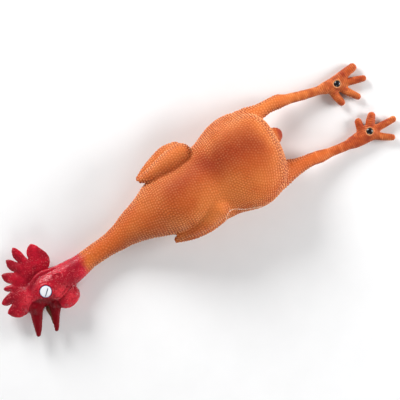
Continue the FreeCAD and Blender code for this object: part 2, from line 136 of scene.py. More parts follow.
def flowing(points, pieces=4):
    """Points along a smooth curve through the given points."""
    points = np.array(points, float)
    if len(points) < 3:
        return points
    ends = np.vstack([2 * points[0] - points[1], points, 2 * points[-1] - points[-2]])
    result = []
    for before, a, b, after in zip(ends[:-3], ends[1:-2], ends[2:-1], ends[3:]):
        for s in np.arange(pieces) / pieces:
            result.append(0.5 * (2 * a + (b - before) * s + (2 * before - 5 * a + 4 * b - after) * s * s
                                 + (3 * a - before - 3 * b + after) * s ** 3))
    return np.vstack([result, points[-1:]])


def rod(points, radii, flat=1.0):
    """A round-ended rod through points with a radius at each; flat is its thickness over its width."""
    stations = flowing(np.c_[np.array(points, float), np.array(radii, float)]).astype(np.float32)
    points, radii = stations[:, :3], stations[:, 3]

    def at(x, y, z):
        nearest = None
        for a, b, ra, rb in zip(points[:-1], points[1:], radii[:-1], radii[1:]):
            ab = (b - a) / np.array([1, 1, flat], np.float32)
            px, py, pz = x - a[0], y - a[1], (z - a[2]) / flat
            share = np.clip((px * ab[0] + py * ab[1] + pz * ab[2]) / (ab @ ab), 0, 1)
            gap = np.sqrt((px - share * ab[0]) ** 2 + (py - share * ab[1]) ** 2 + (pz - share * ab[2]) ** 2)
            piece = gap - (ra + share * (rb - ra))
            nearest = piece if nearest is None else np.minimum(nearest, piece)
        return nearest * min(flat, 1.0) if flat < 1 else nearest

    widest = radii.max() * max(flat, 1.0)
    return Shape(at, points.min(0) - widest, points.max(0) + widest)


def egg(centre, radii, power=2.0):
    """An ellipsoid, or with a higher power a fuller, squarer one."""
    centre = np.array(centre, np.float32)
    radii = np.array(radii, np.float32)

    def at(x, y, z):
        u, v, w = (np.abs(p - c) / r + 1e-4 for p, c, r in zip((x, y, z), centre, radii))
        q = (u ** power + v ** power + w ** power) ** (1.0 / power)
        slope = np.sqrt((u ** (power - 1) / radii[0]) ** 2 + (v ** (power - 1) / radii[1]) ** 2
                        + (w ** (power - 1) / radii[2]) ** 2) / np.maximum(q, 1e-3) ** (power - 1)
        return (q - 1.0) / np.maximum(slope, 1e-3)

    return Shape(at, centre - radii, centre + radii)


def smooth_curve(xs, ys, x):
    """A cubic through the stations that never overshoots them."""
    xs, ys = np.asarray(xs, float), np.asarray(ys, float)
    gaps = np.diff(xs)
    rises = np.diff(ys) / gaps
    slopes = np.zeros(len(xs))
    inner = rises[:-1] * rises[1:] > 0
    mean = 2 * rises[:-1] * rises[1:] / np.where(inner, rises[:-1] + rises[1:], 1)
    slopes[1:-1] = np.where(inner, mean, 0)
    slopes[0], slopes[-1] = rises[0], rises[-1]
    k = np.clip(np.searchsorted(xs, x) - 1, 0, len(gaps) - 1)
    s = np.clip((x - xs[k]) / gaps[k], 0, 1)
    a, b = slopes[k] * gaps[k], slopes[k + 1] * gaps[k]
    return (ys[k] * (1 + 2 * s) * (1 - s) ** 2 + a * s * (1 - s) ** 2
            + ys[k + 1] * s * s * (3 - 2 * s) + b * s * s * (s - 1))


def tube(stations, power=2.0):
    """A solid along X through stations (x, y, z, half width, half depth)."""
    stations = np.array(sorted(tuple(station) for station in stations), float)

    def at(x, y, z):
        along = np.asarray(x, float)
        cy, cz, wide, deep = (smooth_curve(stations[:, 0], stations[:, c], along) for c in (1, 2, 3, 4))
        ahead = [smooth_curve(stations[:, 0], stations[:, c], along + 0.5) for c in (3, 4)]
        taper = np.sqrt(1 + ((ahead[0] - wide + ahead[1] - deep) / 1.0) ** 2)
        cy, cz, wide, deep = (a.astype(np.float32) for a in (cy, cz, wide, deep))
        u, v = np.abs(y - cy) / wide + 1e-4, np.abs(z - cz) / deep + 1e-4
        q = (u ** power + v ** power) ** (1.0 / power)
        slope = np.sqrt((u ** (power - 1) / wide) ** 2 + (v ** (power - 1) / deep) ** 2)
        slope = slope / np.maximum(q, 1e-3) ** (power - 1)
        side = (q - 1.0) / np.maximum(slope, 1e-3) / taper.astype(np.float32)
        beyond = np.maximum(stations[0, 0] - along, along - stations[-1, 0]).astype(np.float32)
        outside = np.sqrt(np.maximum(side, 0) ** 2 + np.maximum(beyond, 0) ** 2)
        return np.where(beyond > 0, np.where(side > 0, outside, beyond), side)

    low = (stations[:, :3] - np.c_[np.zeros(len(stations)), stations[:, 3:]]).min(0)
    high = (stations[:, :3] + np.c_[np.zeros(len(stations)), stations[:, 3:]]).max(0)
    return Shape(at, low, high)


def scaled(shares, start, sizes):
    """Stations in millimetres, from their shares of the sizes and the place that they start from."""
    offset = np.array([*start, 0, 0], float)
    return np.array(shares, float) * np.array(sizes, float) + offset


# ------------------------------ the trunk and neck

# Each station: along, aside, rise, half width, half depth, as shares of the body's length, half width and
# half depth.
BODY_SHARES = [
    (-0.620, -0.345, 0.350, 0.203, 0.320),
    (-0.560, -0.305, 0.345, 0.208, 0.325),
    (-0.490, -0.255, 0.390, 0.256, 0.364),
    (-0.430, -0.184, 0.506, 0.328, 0.470),
    (-0.360, -0.144, 0.650, 0.432, 0.606),
    (-0.295, -0.110, 0.790, 0.560, 0.740),
    (-0.200, -0.110, 0.900, 0.690, 0.850),
    (-0.065, -0.110, 0.940, 0.790, 0.890),
    (0.030, -0.040, 0.950, 0.850, 0.900),
    (0.110, 0.000, 0.950, 0.800, 0.850),
    (0.190, 0.000, 0.940, 0.500, 0.550),
]

# The skull from the nape to the brow, in millimetres: x, y, z, half width, half depth.
SKULL = [
    (-212, -26.4, 17.0, 15.0, 13.4), (-223, -27.6, 18.2, 16.4, 15.0), (-234, -29.0, 18.8, 17.8, 16.8),
    (-246, -30.4, 18.8, 18.8, 17.8), (-258, -31.2, 18.8, 19.4, 17.9), (-268, -32.0, 18.8, 17.0, 16.4),
    (-276, -33.4, 18.8, 13.0, 13.2), (-282, -35.5, 18.8, 8.0, 9.2), (-285, -37.0, 18.8, 4.0, 5.0),
]


def make_body_shapes():
    low, high = box_mm("trunk_skin")
    length = high[0] - box_mm("head_flexure")[0][0]
    half_width = (high[1] - low[1]) / 2
    half_depth = high[2] / 2
    sizes = (length, half_width, half_depth, half_width, half_depth)
    middle = half_depth * 1.01
    return {
        "core": tube([*scaled(BODY_SHARES, (0, 0, 0), sizes), *SKULL], power=2.05),
        "hind": egg((high[0] - 51.5, -1.5, middle), (50.5, half_width - 0.8, half_depth), 2.15),
        "breast": egg((-46, -8, middle), (46, 36, half_depth * 0.95), 2.2),
        "belly": egg((37, 5.5, half_depth * 1.07), (46.5, 46.5, half_depth * 0.96), 2.9),
        "tail_nub": rod([(66, 8, 27), (82, 9.0, 26.5), (89.4, 10.6, 26)], [14, 11.2, 5.0], 0.8),
    }


# Each wing is two fleshy rolls side by side: points and radii.
ROLL_CREASE = 2.6
WINGS = {
    "left_wing": [
        ([(-90, 35.5, 38), (-72, 35.0, 44), (-50, 37.5, 48.5), (-31, 41.5, 49.0)], [3.8, 10.0, 14.0, 13.6]),
        ([(-92, 38.5, 33), (-74, 44.5, 36), (-50, 51.0, 38), (-35, 50.5, 40)], [3.4, 7.0, 9.2, 9.2]),
    ],
    "right_wing": [
        ([(-79, -49.0, 37), (-58, -48.5, 43), (-36, -44.5, 49), (-20, -39.0, 53)], [4.0, 8.6, 12.6, 14.4]),
        ([(-83, -51.5, 32), (-64, -53.0, 35), (-42, -52.0, 38), (-25, -48.5, 41)], [4.2, 7.4, 9.6, 10.4]),
    ],
}

LEG_SHARES = {
    "left": [
        (0.00, 0.00, 1.40, 1.00, 1.00), (0.10, 0.22, 1.33, 0.80, 0.80), (0.22, 0.24, 1.16, 0.62, 0.62),
        (0.33, 0.31, 0.90, 0.53, 0.55), (0.45, 0.28, 0.66, 0.55, 0.54), (0.56, 0.10, 0.44, 0.43, 0.44),
        (0.72, -0.16, 0.20, 0.40, 0.41), (0.89, -0.38, 0.02, 0.36, 0.38), (1.00, -0.48, -0.06, 0.43, 0.36),
        (1.08, -0.54, -0.12, 0.40, 0.28),
    ],
    "right": [
        (0.00, 0.00, 1.40, 1.05, 1.00), (0.10, 0.06, 1.33, 1.03, 0.91), (0.23, 0.10, 1.12, 0.81, 0.74),
        (0.35, 0.06, 0.88, 0.60, 0.60), (0.47, 0.05, 0.66, 0.52, 0.53), (0.56, -0.04, 0.44, 0.52, 0.50),
        (0.72, -0.15, 0.20, 0.38, 0.40), (0.89, -0.24, 0.02, 0.39, 0.38), (1.03, -0.26, -0.06, 0.45, 0.36),
        (1.14, -0.22, -0.12, 0.42, 0.28),
    ],
}
LEG_START = {"left": (54.0, 41.0, 8.5), "right": (54.0, -39.0, 8.5)}
LEG_SIZES = (121.0, 16.0, 15.8, 16.0, 15.8)

# Each palm is a rod from the ankle: points and radii. Each toe: points of its middle line, and radii.
PALMS = {
    "left": ([(170, 33.6, 7.0), (180, 32.6, 6.4), (188, 31.6, 6.2)], [6.6, 8.6, 9.0]),
    "right": ([(172, -42.9, 7.0), (184, -42.4, 6.4), (196, -42.4, 6.2)], [7.0, 9.0, 9.4]),
}
TOES = {
    "left_hind_toe": ([(175.5, 31.0), (177.0, 18.5), (179.6, 8.6)], [5.2, 5.4, 4.6]),
    "left_inner_toe": ([(185.5, 27.0), (194.5, 14.5), (201.0, 6.0)], [4.8, 5.0, 4.3]),
    "left_middle_toe": ([(190.0, 29.5), (205.0, 26.4), (217.6, 23.4)], [4.6, 4.9, 4.2]),
    "left_outer_toe": ([(180.0, 35.8), (195.0, 38.6), (211.6, 41.8)], [5.6, 6.2, 5.5]),
    "right_hind_toe": ([(185.5, -40.0), (186.0, -31.0), (187.2, -22.8)], [5.4, 5.4, 4.7]),
    "right_inner_toe": ([(194.5, -38.0), (200.6, -30.0), (205.4, -23.6)], [5.4, 5.9, 5.2]),
    "right_middle_toe": ([(200.0, -41.2), (214.0, -40.4), (227.8, -39.8)], [4.6, 4.8, 4.2]),
    "right_outer_toe": ([(196.0, -47.2), (207.0, -54.0), (216.4, -59.6)], [4.8, 4.9, 4.2]),
}
TOE_HEIGHT = 5.5


def make_leg_shapes():
    shapes = {}
    for side, shares in LEG_SHARES.items():
        shapes[f"{side}_leg"] = tube(scaled(shares, LEG_START[side], LEG_SIZES))
        shapes[f"{side}_palm"] = rod(*PALMS[side], 0.62)
    for toe, (points, radii) in TOES.items():
        shapes[toe] = rod([(x, y, TOE_HEIGHT) for x, y in points], radii, 0.96)
    return shapes


# ------------------------------ the head

FACE = (-265.0, -29.0)
COMB_REACH = 63.5
# The comb's points from nape to brow: direction in degrees and reach, as a share of the longest, of each tip
# and of the notch after it.
COMB_POINTS = [
    (76, 0.92, 85, 0.63),
    (97, 1.00, 103, 0.69),
    (113, 0.90, 120, 0.61),
    (133, 0.83, 143, 0.57),
    (153, 0.74, 157, 0.59),
    (174, 0.83, 180, 0.63),
    (190, 0.81, 215, 0.55),
]
COMB_NAPE = (44, 0.42)
COMB_BACK = (55, 0.74)
COMB_FLANKS = ((0.20, 1), (0.09, 2))        # swell and lean of a falling flank, then of a rising one
COMB_ROUNDING = 0.45                        # how far the corners of the outline are rounded
COMB_RIM = 1.1                              # radius of its rim
COMB_HALF = 1.3                             # half its thickness at the rim
COMB_GAIN = 2.1                             # what that gains towards the root
COMB_TAPER = 6.0                            # over about this distance
FURROW_WIDTH = 2.6
FURROW_DEPTH = 0.6


def comb_point(direction, share):
    angle = math.radians(direction)
    return np.array(FACE) + share * COMB_REACH * np.array([math.cos(angle), math.sin(angle)])


def flank(a, b, swell, lean):
    """Points from a to b that swell outwards by a share of the distance, nearer to b for a higher lean."""
    chord = b - a
    outward = swell * np.array([chord[1], -chord[0]])
    peak = lean ** lean / (lean + 1) ** (lean + 1)
    return [a + chord * s + outward * s ** lean * (1 - s) / peak for s in np.linspace(0, 1, 6)[1:]]


def comb_outline():
    """The comb's outline seen from the side, in millimetres, as short runs."""
    corners = [comb_point(*COMB_NAPE), comb_point(*COMB_BACK)]
    for tip, tip_reach, notch, notch_reach in COMB_POINTS:
        corners += [comb_point(tip, tip_reach), comb_point(notch, notch_reach)]
    outline = [np.array(FACE), corners[0]]
    for number, (a, b) in enumerate(zip(corners[:-1], corners[1:])):
        outline += flank(a, b, *COMB_FLANKS[number % 2])
    return np.array(outline)


def outline_distance(outline, x, y):
    """Distance in the plane to a closed outline, negative inside."""
    x, y = np.broadcast_arrays(x, y)
    nearest = np.full(x.shape, 1e9)
    inside = np.zeros(x.shape, bool)
    for (ax, ay), (bx, by) in zip(outline, np.roll(outline, -1, axis=0)):
        dx, dy = bx - ax, by - ay
        share = np.clip(((x - ax) * dx + (y - ay) * dy) / (dx * dx + dy * dy), 0, 1)
        nearest = np.minimum(nearest, (x - ax - share * dx) ** 2 + (y - ay - share * dy) ** 2)
        if dy:
            crosses = ((ay > y) != (by > y)) & (x < (y - ay) * dx / dy + ax)
            inside ^= crosses
    return np.where(inside, -1, 1) * np.sqrt(nearest)


def rounded(field, reach):
    """A plane of distances blurred so that its sharp corners round off."""
    count = int(3 * reach)
    taps = np.exp(-0.5 * (np.arange(-count, count + 1) / reach) ** 2)
    taps /= taps.sum()
    for axis in (0, 1):
        padding = [(count, count) if a == axis else (0, 0) for a in range(field.ndim)]
        wide = np.pad(field, padding, mode="edge")
        size = field.shape[axis]
        field = sum(t * np.take(wide, range(k, k + size), axis=axis) for k, t in enumerate(taps))
    return field


def past_both(side, over):
    """Distance to a solid bounded by two faces that are square to each other, from the distance past each."""
    corner = np.sqrt(np.maximum(side, 0) ** 2 + np.maximum(over, 0) ** 2)
    return corner + np.minimum(np.maximum(side, over), 0)


def make_comb_shape():
    """A fleshy sheet, thick at its root and thin at its rim, furrowed from each notch to the face."""
    outline = comb_outline()

    def at(x, y, z):
        flat = outline_distance(outline, x, y)
        if flat.ndim == 3:
            flat = rounded(flat, COMB_ROUNDING / STEP)
        turn = np.degrees(np.arctan2(y - FACE[1], x - FACE[0])) % 360
        reach = np.hypot(y - FACE[1], x - FACE[0]) / COMB_REACH
        furrow = 0
        for _, _, notch, _ in COMB_POINTS[:-1]:
            furrow = furrow + np.exp(-((turn - notch) * reach / FURROW_WIDTH) ** 2)
        gain = COMB_GAIN * (1 - np.exp(np.minimum(flat, 0) / COMB_TAPER))
        half = COMB_HALF + gain - FURROW_DEPTH * furrow
        over = np.abs(z - MIDPLANE) - (half - COMB_RIM)
        return (past_both(flat + COMB_RIM, over) - COMB_RIM).astype(np.float32)

    low = [*outline.min(0), MIDPLANE - 4]
    high = [*outline.max(0), MIDPLANE + 4]
    return Shape(at, low, high)


# Rods that lie in the comb's plane: points, radii, and thickness over width.
HEAD_RODS = {
    "upper_beak": ([(-276, -40), (-280.8, -48.2), (-285.2, -59.3), (-290.1, -72.1), (-293.0, -78.6)],
                   [11.0, 9.0, 6.9, 4.5, 3.0], 0.9),
    "lower_beak": ([(-256.0, -47), (-258.0, -55.6), (-261.8, -64.5), (-266.2, -75.5), (-269.8, -83.2)],
                   [8.8, 7.9, 5.6, 3.9, 2.4], 0.9),
    "saddle": ([(-280.5, -46.5), (-273.6, -45.4), (-265.0, -46.0), (-257.0, -51.4)],
               [8.4, 7.2, 5.0, 7.0], 1.4),
    "mouth_lining": ([(-264.2, -51.4), (-267.2, -56.0), (-267.6, -65.5), (-269.6, -74.0)],
                     [3.0, 3.2, 2.0, 1.2], 1.2),
}
WATTLE = [(-249.5, -56.6), (-241, -57.4), (-233.4, -54.6), (-230.2, -51.6)]
WATTLE_RADII = [5.4, 9.0, 9.2, 7.8]
WATTLE_SPREAD = 4.6                         # how far each wattle's middle is from the comb's plane
BROW = [(-277.5, -27.5), (-274.0, -21.0), (-266.6, -15.2), (-256.0, -11.8), (-244.0, -12.6), (-234.0, -13.6)]
BROW_RADII = [1.8, 2.6, 3.0, 3.0, 2.6, 1.6]
EAR = (-237.0, -23.3)
LOBE = (-244.0, -40.8)
EYE_FOLDS = ((11.2, 70, 215), (14.4, 85, 190))      # reach of each fold, where it starts and where it stops


def level(points, height):
    return [(x, y, height) for x, y in points]


def ring(centre, along, across, turn, height, radius):
    """An oval ring lying flat."""
    points = []
    for angle in np.linspace(0, 2 * math.pi, 15):
        u, v = along * math.cos(angle), across * math.sin(angle)
        points.append((centre[0] + u * math.cos(turn) - v * math.sin(turn),
                       centre[1] + u * math.sin(turn) + v * math.cos(turn), height))
    return rod(points, [radius] * len(points))


def puck(centre, radius, bottom, top):
    """An upright disc."""
    def at(x, y, z):
        side = np.hypot(x - centre[0], y - centre[1]) - radius
        over = np.abs(z - (bottom + top) / 2) - (top - bottom) / 2
        return past_both(side, over).astype(np.float32)

    low = (centre[0] - radius, centre[1] - radius, bottom)
    high = (centre[0] + radius, centre[1] + radius, top)
    return Shape(at, low, high)


def make_head_shapes():
    shapes = {
        "comb": make_comb_shape(),
        "comb_root": egg((-285, -32, MIDPLANE), (16, 17, 6.6)),
        "jaw": egg((-241, -43.5, MIDPLANE), (18, 13.5, 12.0)),
    }
    for name, (points, radii, flat) in HEAD_RODS.items():
        shapes[name] = rod(level(points, MIDPLANE), radii, flat)
    for side, spread in zip(SIDES, (WATTLE_SPREAD, -WATTLE_SPREAD)):
        shapes[f"{side}_wattle"] = rod(level(WATTLE, MIDPLANE + spread), WATTLE_RADII, 0.74)
    return shapes


def make_wing_shape(rolls):
    """Two rolls joined with a small crease."""
    first, second = (rod(*roll) for roll in rolls)

    def at(x, y, z):
        return soft_min(first.at(x, y, z), second.at(x, y, z), ROLL_CREASE)

    return Shape(at, np.minimum(first.low, second.low), np.maximum(first.high, second.high))


shapes = {**make_body_shapes(), **make_leg_shapes(), **make_head_shapes()}
for wing, rolls in WINGS.items():
    shapes[wing] = make_wing_shape(rolls)


def middle_mm(node):
    low, high = box_mm(node)
    return (low + high) / 2


def radius_mm(node):
    low, high = box_mm(node)
    return (high - low)[0] / 2


EYE = tuple(middle_mm("left_eye")[:2])
EYE_RADIUS = radius_mm("left_eye")
RIVET_RADIUS = radius_mm("left_rivet")


def add_face_details(clay):
    """Brow, ear, ear lobe and the folds of skin, the same on both sides of the head."""
    for sign in (1, -1):
        def at_height(rise):
            return MIDPLANE + sign * rise

        clay.add(rod(level(BROW, at_height(8.5)), BROW_RADII), 2.4)
        clay.add(ring(EAR, 5.2, 3.0, -0.25, at_height(15.6), 1.3), 1.0)
        bead = level([(EAR[0] - 2.5, EAR[1] + 0.4), (EAR[0] + 2.2, EAR[1] - 0.6)], at_height(15.4))
        clay.add(rod(bead, [1.2, 1.0]), 0.8)
        lobe = level([(LOBE[0] - 4.5, LOBE[1] - 2.6), (LOBE[0] + 5.5, LOBE[1] + 1.6)], at_height(13.6))
        clay.add(rod(lobe, [4.4, 3.6], 0.8), 1.6)
        for reach, start, stop in EYE_FOLDS:
            arc = []
            for angle in np.radians(np.linspace(start, stop, 9)):
                arc.append((EYE[0] + reach * math.cos(angle), EYE[1] + reach * math.sin(angle)))
            surface = 17.6 - (reach - 9.0) * 0.32
            clay.carve(rod(level(arc, at_height(surface + 0.7)), [1.0] * len(arc)), 1.0)
        clay.add(ring(EYE, 8.6, 8.6, 0, at_height(17.0), 0.9), 1.4)


# The shapes in the order in which they are added, and how widely each one's crease with the others is filled.
BODY_ORDER = [
    ("core", 1.0), ("hind", 9.0), ("tail_nub", 4.0), ("left_leg", 7.0), ("right_leg", 7.0), ("breast", 10.0),
    ("belly", 2.6), ("left_wing", 4.0), ("right_wing", 4.0), ("left_palm", 5.0), ("right_palm", 5.0),
    *((toe, 2.6) for toe in TOES), ("comb_root", 8.0), ("comb", 2.4),
]
HEAD_ORDER = [
    ("saddle", 2.6), ("upper_beak", 2.6), ("lower_beak", 2.6), ("mouth_lining", 1.0), ("jaw", 4.0),
    ("left_wattle", 2.6), ("right_wattle", 2.6),
]
EYE_PLAY = 0.35                             # gap between an eye disc and the skin
LIP_HEIGHT = 11.4                           # height of the raised lip round a rivet's cap
SEAT_HEIGHT = 11.0                          # height of the palm under the cap
WASHER_HEIGHT = 1.9                         # height that the washer's recess reaches


def sculpt():
    low, high = box_mm(*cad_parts)
    clay = Clay(low - (5, 7, 4), high + (6, 6, 5), STEP)
    for name, soft in BODY_ORDER:
        clay.add(shapes[name], soft)
    add_face_details(clay)
    for name, soft in HEAD_ORDER:
        clay.add(shapes[name], soft)
    for side in SIDES:
        low, high = box_mm(f"{side}_eye")
        bottom, top = (low[2], high[2] + 9) if side == "left" else (-5, high[2])
        clay.carve(puck(EYE, EYE_RADIUS + EYE_PLAY, bottom, top), 0.5)
        centre = middle_mm(f"{side}_rivet")
        clay.add(ring(centre, RIVET_RADIUS + 0.9, RIVET_RADIUS + 0.9, 0, LIP_HEIGHT, 1.25), 1.2)
        clay.carve(puck(centre, RIVET_RADIUS + 0.1, SEAT_HEIGHT, 20), 0.5)
        clay.carve(puck(centre, RIVET_RADIUS, -4, WASHER_HEIGHT), 0.5)
    np.maximum(clay.distance, -clay.axes[2][None, None, :], out=clay.distance)
    return clay


def sums_by(index, vectors, count=0):
    """For every index, the sum of the vectors that carry it."""
    return np.stack([np.bincount(index, vectors[:, c], count) for c in range(3)], axis=1)


def skin_of(clay):
    """The surface of the clay as a mesh of quads: one vertex in every cell that the surface crosses."""
    d = clay.distance
    inside = d < 0
    shape = np.array(d.shape)
    stride = np.array([shape[1] * shape[2], shape[2], 1])
    cells, points = [], []
    for axis in range(3):
        here = [slice(None)] * 3
        there = [slice(None)] * 3
        here[axis], there[axis] = slice(None, -1), slice(1, None)
        index = np.argwhere(inside[tuple(here)] != inside[tuple(there)])
        step = np.zeros(3, int)
        step[axis] = 1
        near, far = d[tuple(index.T)], d[tuple((index + step).T)]
        crossing = index.astype(float)
        crossing[:, axis] += near / (near - far)
        b, c = [a for a in range(3) if a != axis]
        around = []
        for back_b, back_c in ((0, 0), (1, 0), (1, 1), (0, 1)):
            cell = index.copy()
            cell[:, b] -= back_b
            cell[:, c] -= back_c
            around.append(cell @ stride)
        around = np.stack(around, axis=1)
        flip = (near < far) != (axis == 1)
        around[flip] = around[flip][:, ::-1]
        cells.append(around.reshape(-1))
        points.append(np.repeat(crossing, 4, axis=0))
    used, number = np.unique(np.concatenate(cells), return_inverse=True)
    vertices = sums_by(number, np.concatenate(points)) / np.bincount(number)[:, None]
    return vertices * clay.step + clay.low, number.reshape(-1, 4)


def edges_of(faces):
    pairs = np.concatenate([faces[:, [i, (i + 1) % 4]] for i in range(4)])
    pairs = np.sort(pairs, axis=1)
    return np.unique(pairs, axis=0)


def settle(vertices, faces, clay, rounds):
    """Even out the mesh and pull it onto the surface."""
    edges = edges_of(faces)
    a, b = edges[:, 0], edges[:, 1]
    count = np.bincount(np.r_[a, b], minlength=len(vertices))[:, None]
    for _ in range(rounds):
        total = sums_by(a, vertices[b], len(vertices)) + sums_by(b, vertices[a], len(vertices))
        vertices = vertices + 0.5 * (total / count - vertices)
        slope = clay.slope(vertices)
        size = np.maximum((slope * slope).sum(1, keepdims=True), 0.05)
        vertices = vertices - slope * clay.sample(vertices)[:, None] / size
    return vertices


def normals_of(vertices, faces):
    p = vertices[faces]
    across = np.cross(p[:, 2] - p[:, 0], p[:, 3] - p[:, 1])
    total = sums_by(faces.reshape(-1), np.repeat(across, 4, axis=0), len(vertices))
    return total / np.maximum(np.linalg.norm(total, axis=1, keepdims=True), 1e-9)


# ------------------------------ relief: pebbled skin, ringed legs, lumpy head

RANDOM = np.random.default_rng(7)
PEBBLE_PITCH = 3.7                          # distance between pebbles along a row
ROW_GAP = 3.25                              # distance between rows
PEBBLE_HEIGHT = 1.6
RING_PITCH = 2.4                            # distance between the rings of the shanks and toes
RING_HEIGHT = 0.62
ROW_BOW = 0.0045                            # how much the rows of pebbles bow round the rump
BODY_AXIS_HEIGHT = 34.0                     # height of the line that the trunk's rows go round
LEGS_FROM = 84.0                            # where the legs' own rows start


def step_between(low, high, value):
    """0 below low, 1 above high, and a smooth step between."""
    t = np.clip((value - low) / (high - low), 0, 1)
    return t * t * (3 - 2 * t)


def hashed(cells, seed):
    """A number from -1 to 1 for every cell of a lattice."""
    x, y, z = (cells[..., c].astype(np.uint64) for c in range(3))
    h = x * np.uint64(73856093) ^ y * np.uint64(19349663) ^ z * np.uint64(83492791)
    h = h ^ np.uint64(seed * 2654435761)
    h = (h ^ (h >> np.uint64(13))) * np.uint64(1274126177)
    h = h ^ (h >> np.uint64(16))
    return (h & np.uint64(0xFFFF)).astype(np.float32) / 32767.5 - 1


def noise(points, size, seed):
    """Smooth noise from -1 to 1 with lumps of about that size."""
    where = points / size + 1000.0
    cell = np.floor(where).astype(np.int64)
    f = where - cell
    f = f * f * (3 - 2 * f)
    total = 0.0
    for corner in np.ndindex(2, 2, 2):
        weight = 1.0
        for axis in range(3):
            weight = weight * (f[:, axis] if corner[axis] else 1 - f[:, axis])
        total = total + weight * hashed(cell + np.array(corner), seed)
    return total


def distance_at(name, points):
    x, y, z = points.astype(np.float32).T
    return shapes[name].at(x, y, z)


def trunk_distance(points):
    return np.min([distance_at(name, points) for name in ("core", "hind", "breast", "belly")], axis=0)


def ring_seeds(points, height_along, axis_at):
    """Points of the surface on rows one gap apart, evenly spaced round each and staggered from row to row."""
    seeds = []
    rows = np.arange(height_along.min() + 1, height_along.max(), ROW_GAP)
    order = np.argsort(height_along)
    ordered = height_along[order]
    for number, row in enumerate(rows):
        first, last = np.searchsorted(ordered, (row - STEP * 0.6, row + STEP * 0.6))
        band = order[first:last]
        if len(band) < 8:
            continue
        p = points[band]
        centre = axis_at(p[:, 0].mean())
        turn = np.arctan2(p[:, 2] - centre[1], p[:, 1] - centre[0])
        around = np.argsort(turn)
        p = p[around]
        reach = np.hypot(p[:, 2] - centre[1], p[:, 1] - centre[0])
        width = max(len(p) // 60, 1)
        window = np.ones(2 * width + 1) / (2 * width + 1)
        reach = np.convolve(np.r_[reach[-width:], reach, reach[:width]], window, "valid")
        sweep = np.diff(turn[around], append=turn[around][0] + 2 * math.pi)
        steps = np.hypot(np.diff(reach, append=reach[0]), reach * sweep)
        length = np.cumsum(steps)
        count = max(int(round(length[-1] / PEBBLE_PITCH)), 4)
        wanted = (np.arange(count) + 0.5 * (number % 2)) * length[-1] / count
        seeds.append(p[np.clip(np.searchsorted(length, wanted), 0, len(p) - 1)])
    return np.concatenate(seeds)


def tree_of(points):
    tree = kdtree.KDTree(len(points))
    for number, point in enumerate(points):
        tree.insert(point, number)
    tree.balance()
    return tree


def thinned(points, gap):
    """The points without those that stand closer than the gap to an earlier one."""
    tree = tree_of(points)
    dropped = np.zeros(len(points), bool)
    for number, point in enumerate(points):
        if dropped[number]:
            continue
        for _, other, _ in tree.find_range(point, gap):
            if other > number:
                dropped[other] = True
    return points[~dropped]


def evened(seeds, points, rounds):
    """The seeds, each moved to the middle of the surface nearest to it."""
    for _ in range(rounds):
        tree = tree_of(seeds)
        owner = np.array([tree.find(point)[1] for point in points])
        count = np.bincount(owner, minlength=len(seeds))[:, None]
        middle = sums_by(owner, points, len(seeds)) / np.maximum(count, 1)
        seeds = np.where(count > 0, 0.75 * middle + 0.25 * seeds, seeds)
    return seeds


def pebble_profile(vertices, zone):
    """Height of the pebbled skin from 0 in the grooves to 1 on a pebble's top."""
    points = vertices[zone]
    legs = points[:, 0] > LEGS_FROM
    groups = [(~legs, lambda x: (0.14 * min(x, 0), BODY_AXIS_HEIGHT), ROW_BOW)]
    for side in SIDES:
        near = legs & ((points[:, 1] > 0) == (side == "left"))
        groups.append((near, lambda x, middle=middle_mm(f"{side}_thigh_skin"): middle[1:], 0.0))
    seeds = []
    for group, axis_at, bow in groups:
        p = points[group]
        hind = step_between(-40, 60, p[:, 0])
        seeds.append(ring_seeds(p, p[:, 0] + hind * bow * (p[:, 1] - 3) ** 2, axis_at))
    seeds = thinned(np.concatenate(seeds), PEBBLE_PITCH * 0.52)
    sample = points[RANDOM.permutation(len(points))[:len(points) // 3]]
    tree = tree_of(seeds)
    bare = np.array([tree.find(point)[2] > PEBBLE_PITCH * 0.8 for point in sample])
    seeds = np.concatenate([seeds, thinned(sample[bare], PEBBLE_PITCH * 0.8)])
    seeds = evened(seeds, sample, 2)
    tree = tree_of(seeds)
    nearest = np.array([[found[2] for found in tree.find_n(point, 2)] for point in points])
    t = nearest[:, 0] / np.maximum(0.5 * nearest.sum(axis=1), 1e-6)
    height = np.zeros(len(vertices))
    height[zone] = 1 - np.clip(t, 0, 1) ** 2.2
    return height


def limb_position(points):
    """Distance along the leg or toe that each point belongs to."""
    along = points[:, 0] + 0.18 * (points[:, 2] - 10)
    nearest = np.full(len(points), 9.0)
    for toe, (line, _) in TOES.items():
        a = np.array([*line[0], TOE_HEIGHT])
        b = np.array([*line[-1], TOE_HEIGHT])
        way = (b - a) / np.linalg.norm(b - a)
        s = (points - a) @ way
        gap = np.linalg.norm(points - a - np.clip(s, 0, 60)[:, None] * way, axis=1)
        closer = (gap < nearest) & (s > 1)
        along = np.where(closer, s, along)
        nearest = np.where(closer, gap, nearest)
    return along


SEAM = [
    (34, -63.5), (20, -59.5), (8.7, -55.4), (-1, -50.0), (-7.5, -48.6), (-12.5, -50.5), (-15.8, -54.0),
    (-21, -62),
]


def line_distance(points, line):
    """Distance seen from above to a smooth line, where it is less than 20 mm."""
    line = flowing(line)
    nearest = np.full(len(points), 20.0)
    for a, b in zip(line[:-1], line[1:]):
        share = np.clip(((points[:, :2] - a) @ (b - a)) / ((b - a) @ (b - a)), 0, 1)
        nearest = np.minimum(nearest, np.linalg.norm(points[:, :2] - a - share[:, None] * (b - a), axis=1))
    return nearest


def seam_mask(points, normals):
    """The mould's parting line on the right flank, seen where the skin faces up."""
    near = 1 - step_between(0.15, 0.6, line_distance(points, SEAM))
    return near * step_between(0.12, 0.45, normals[:, 2]) * (points[:, 2] > 24)


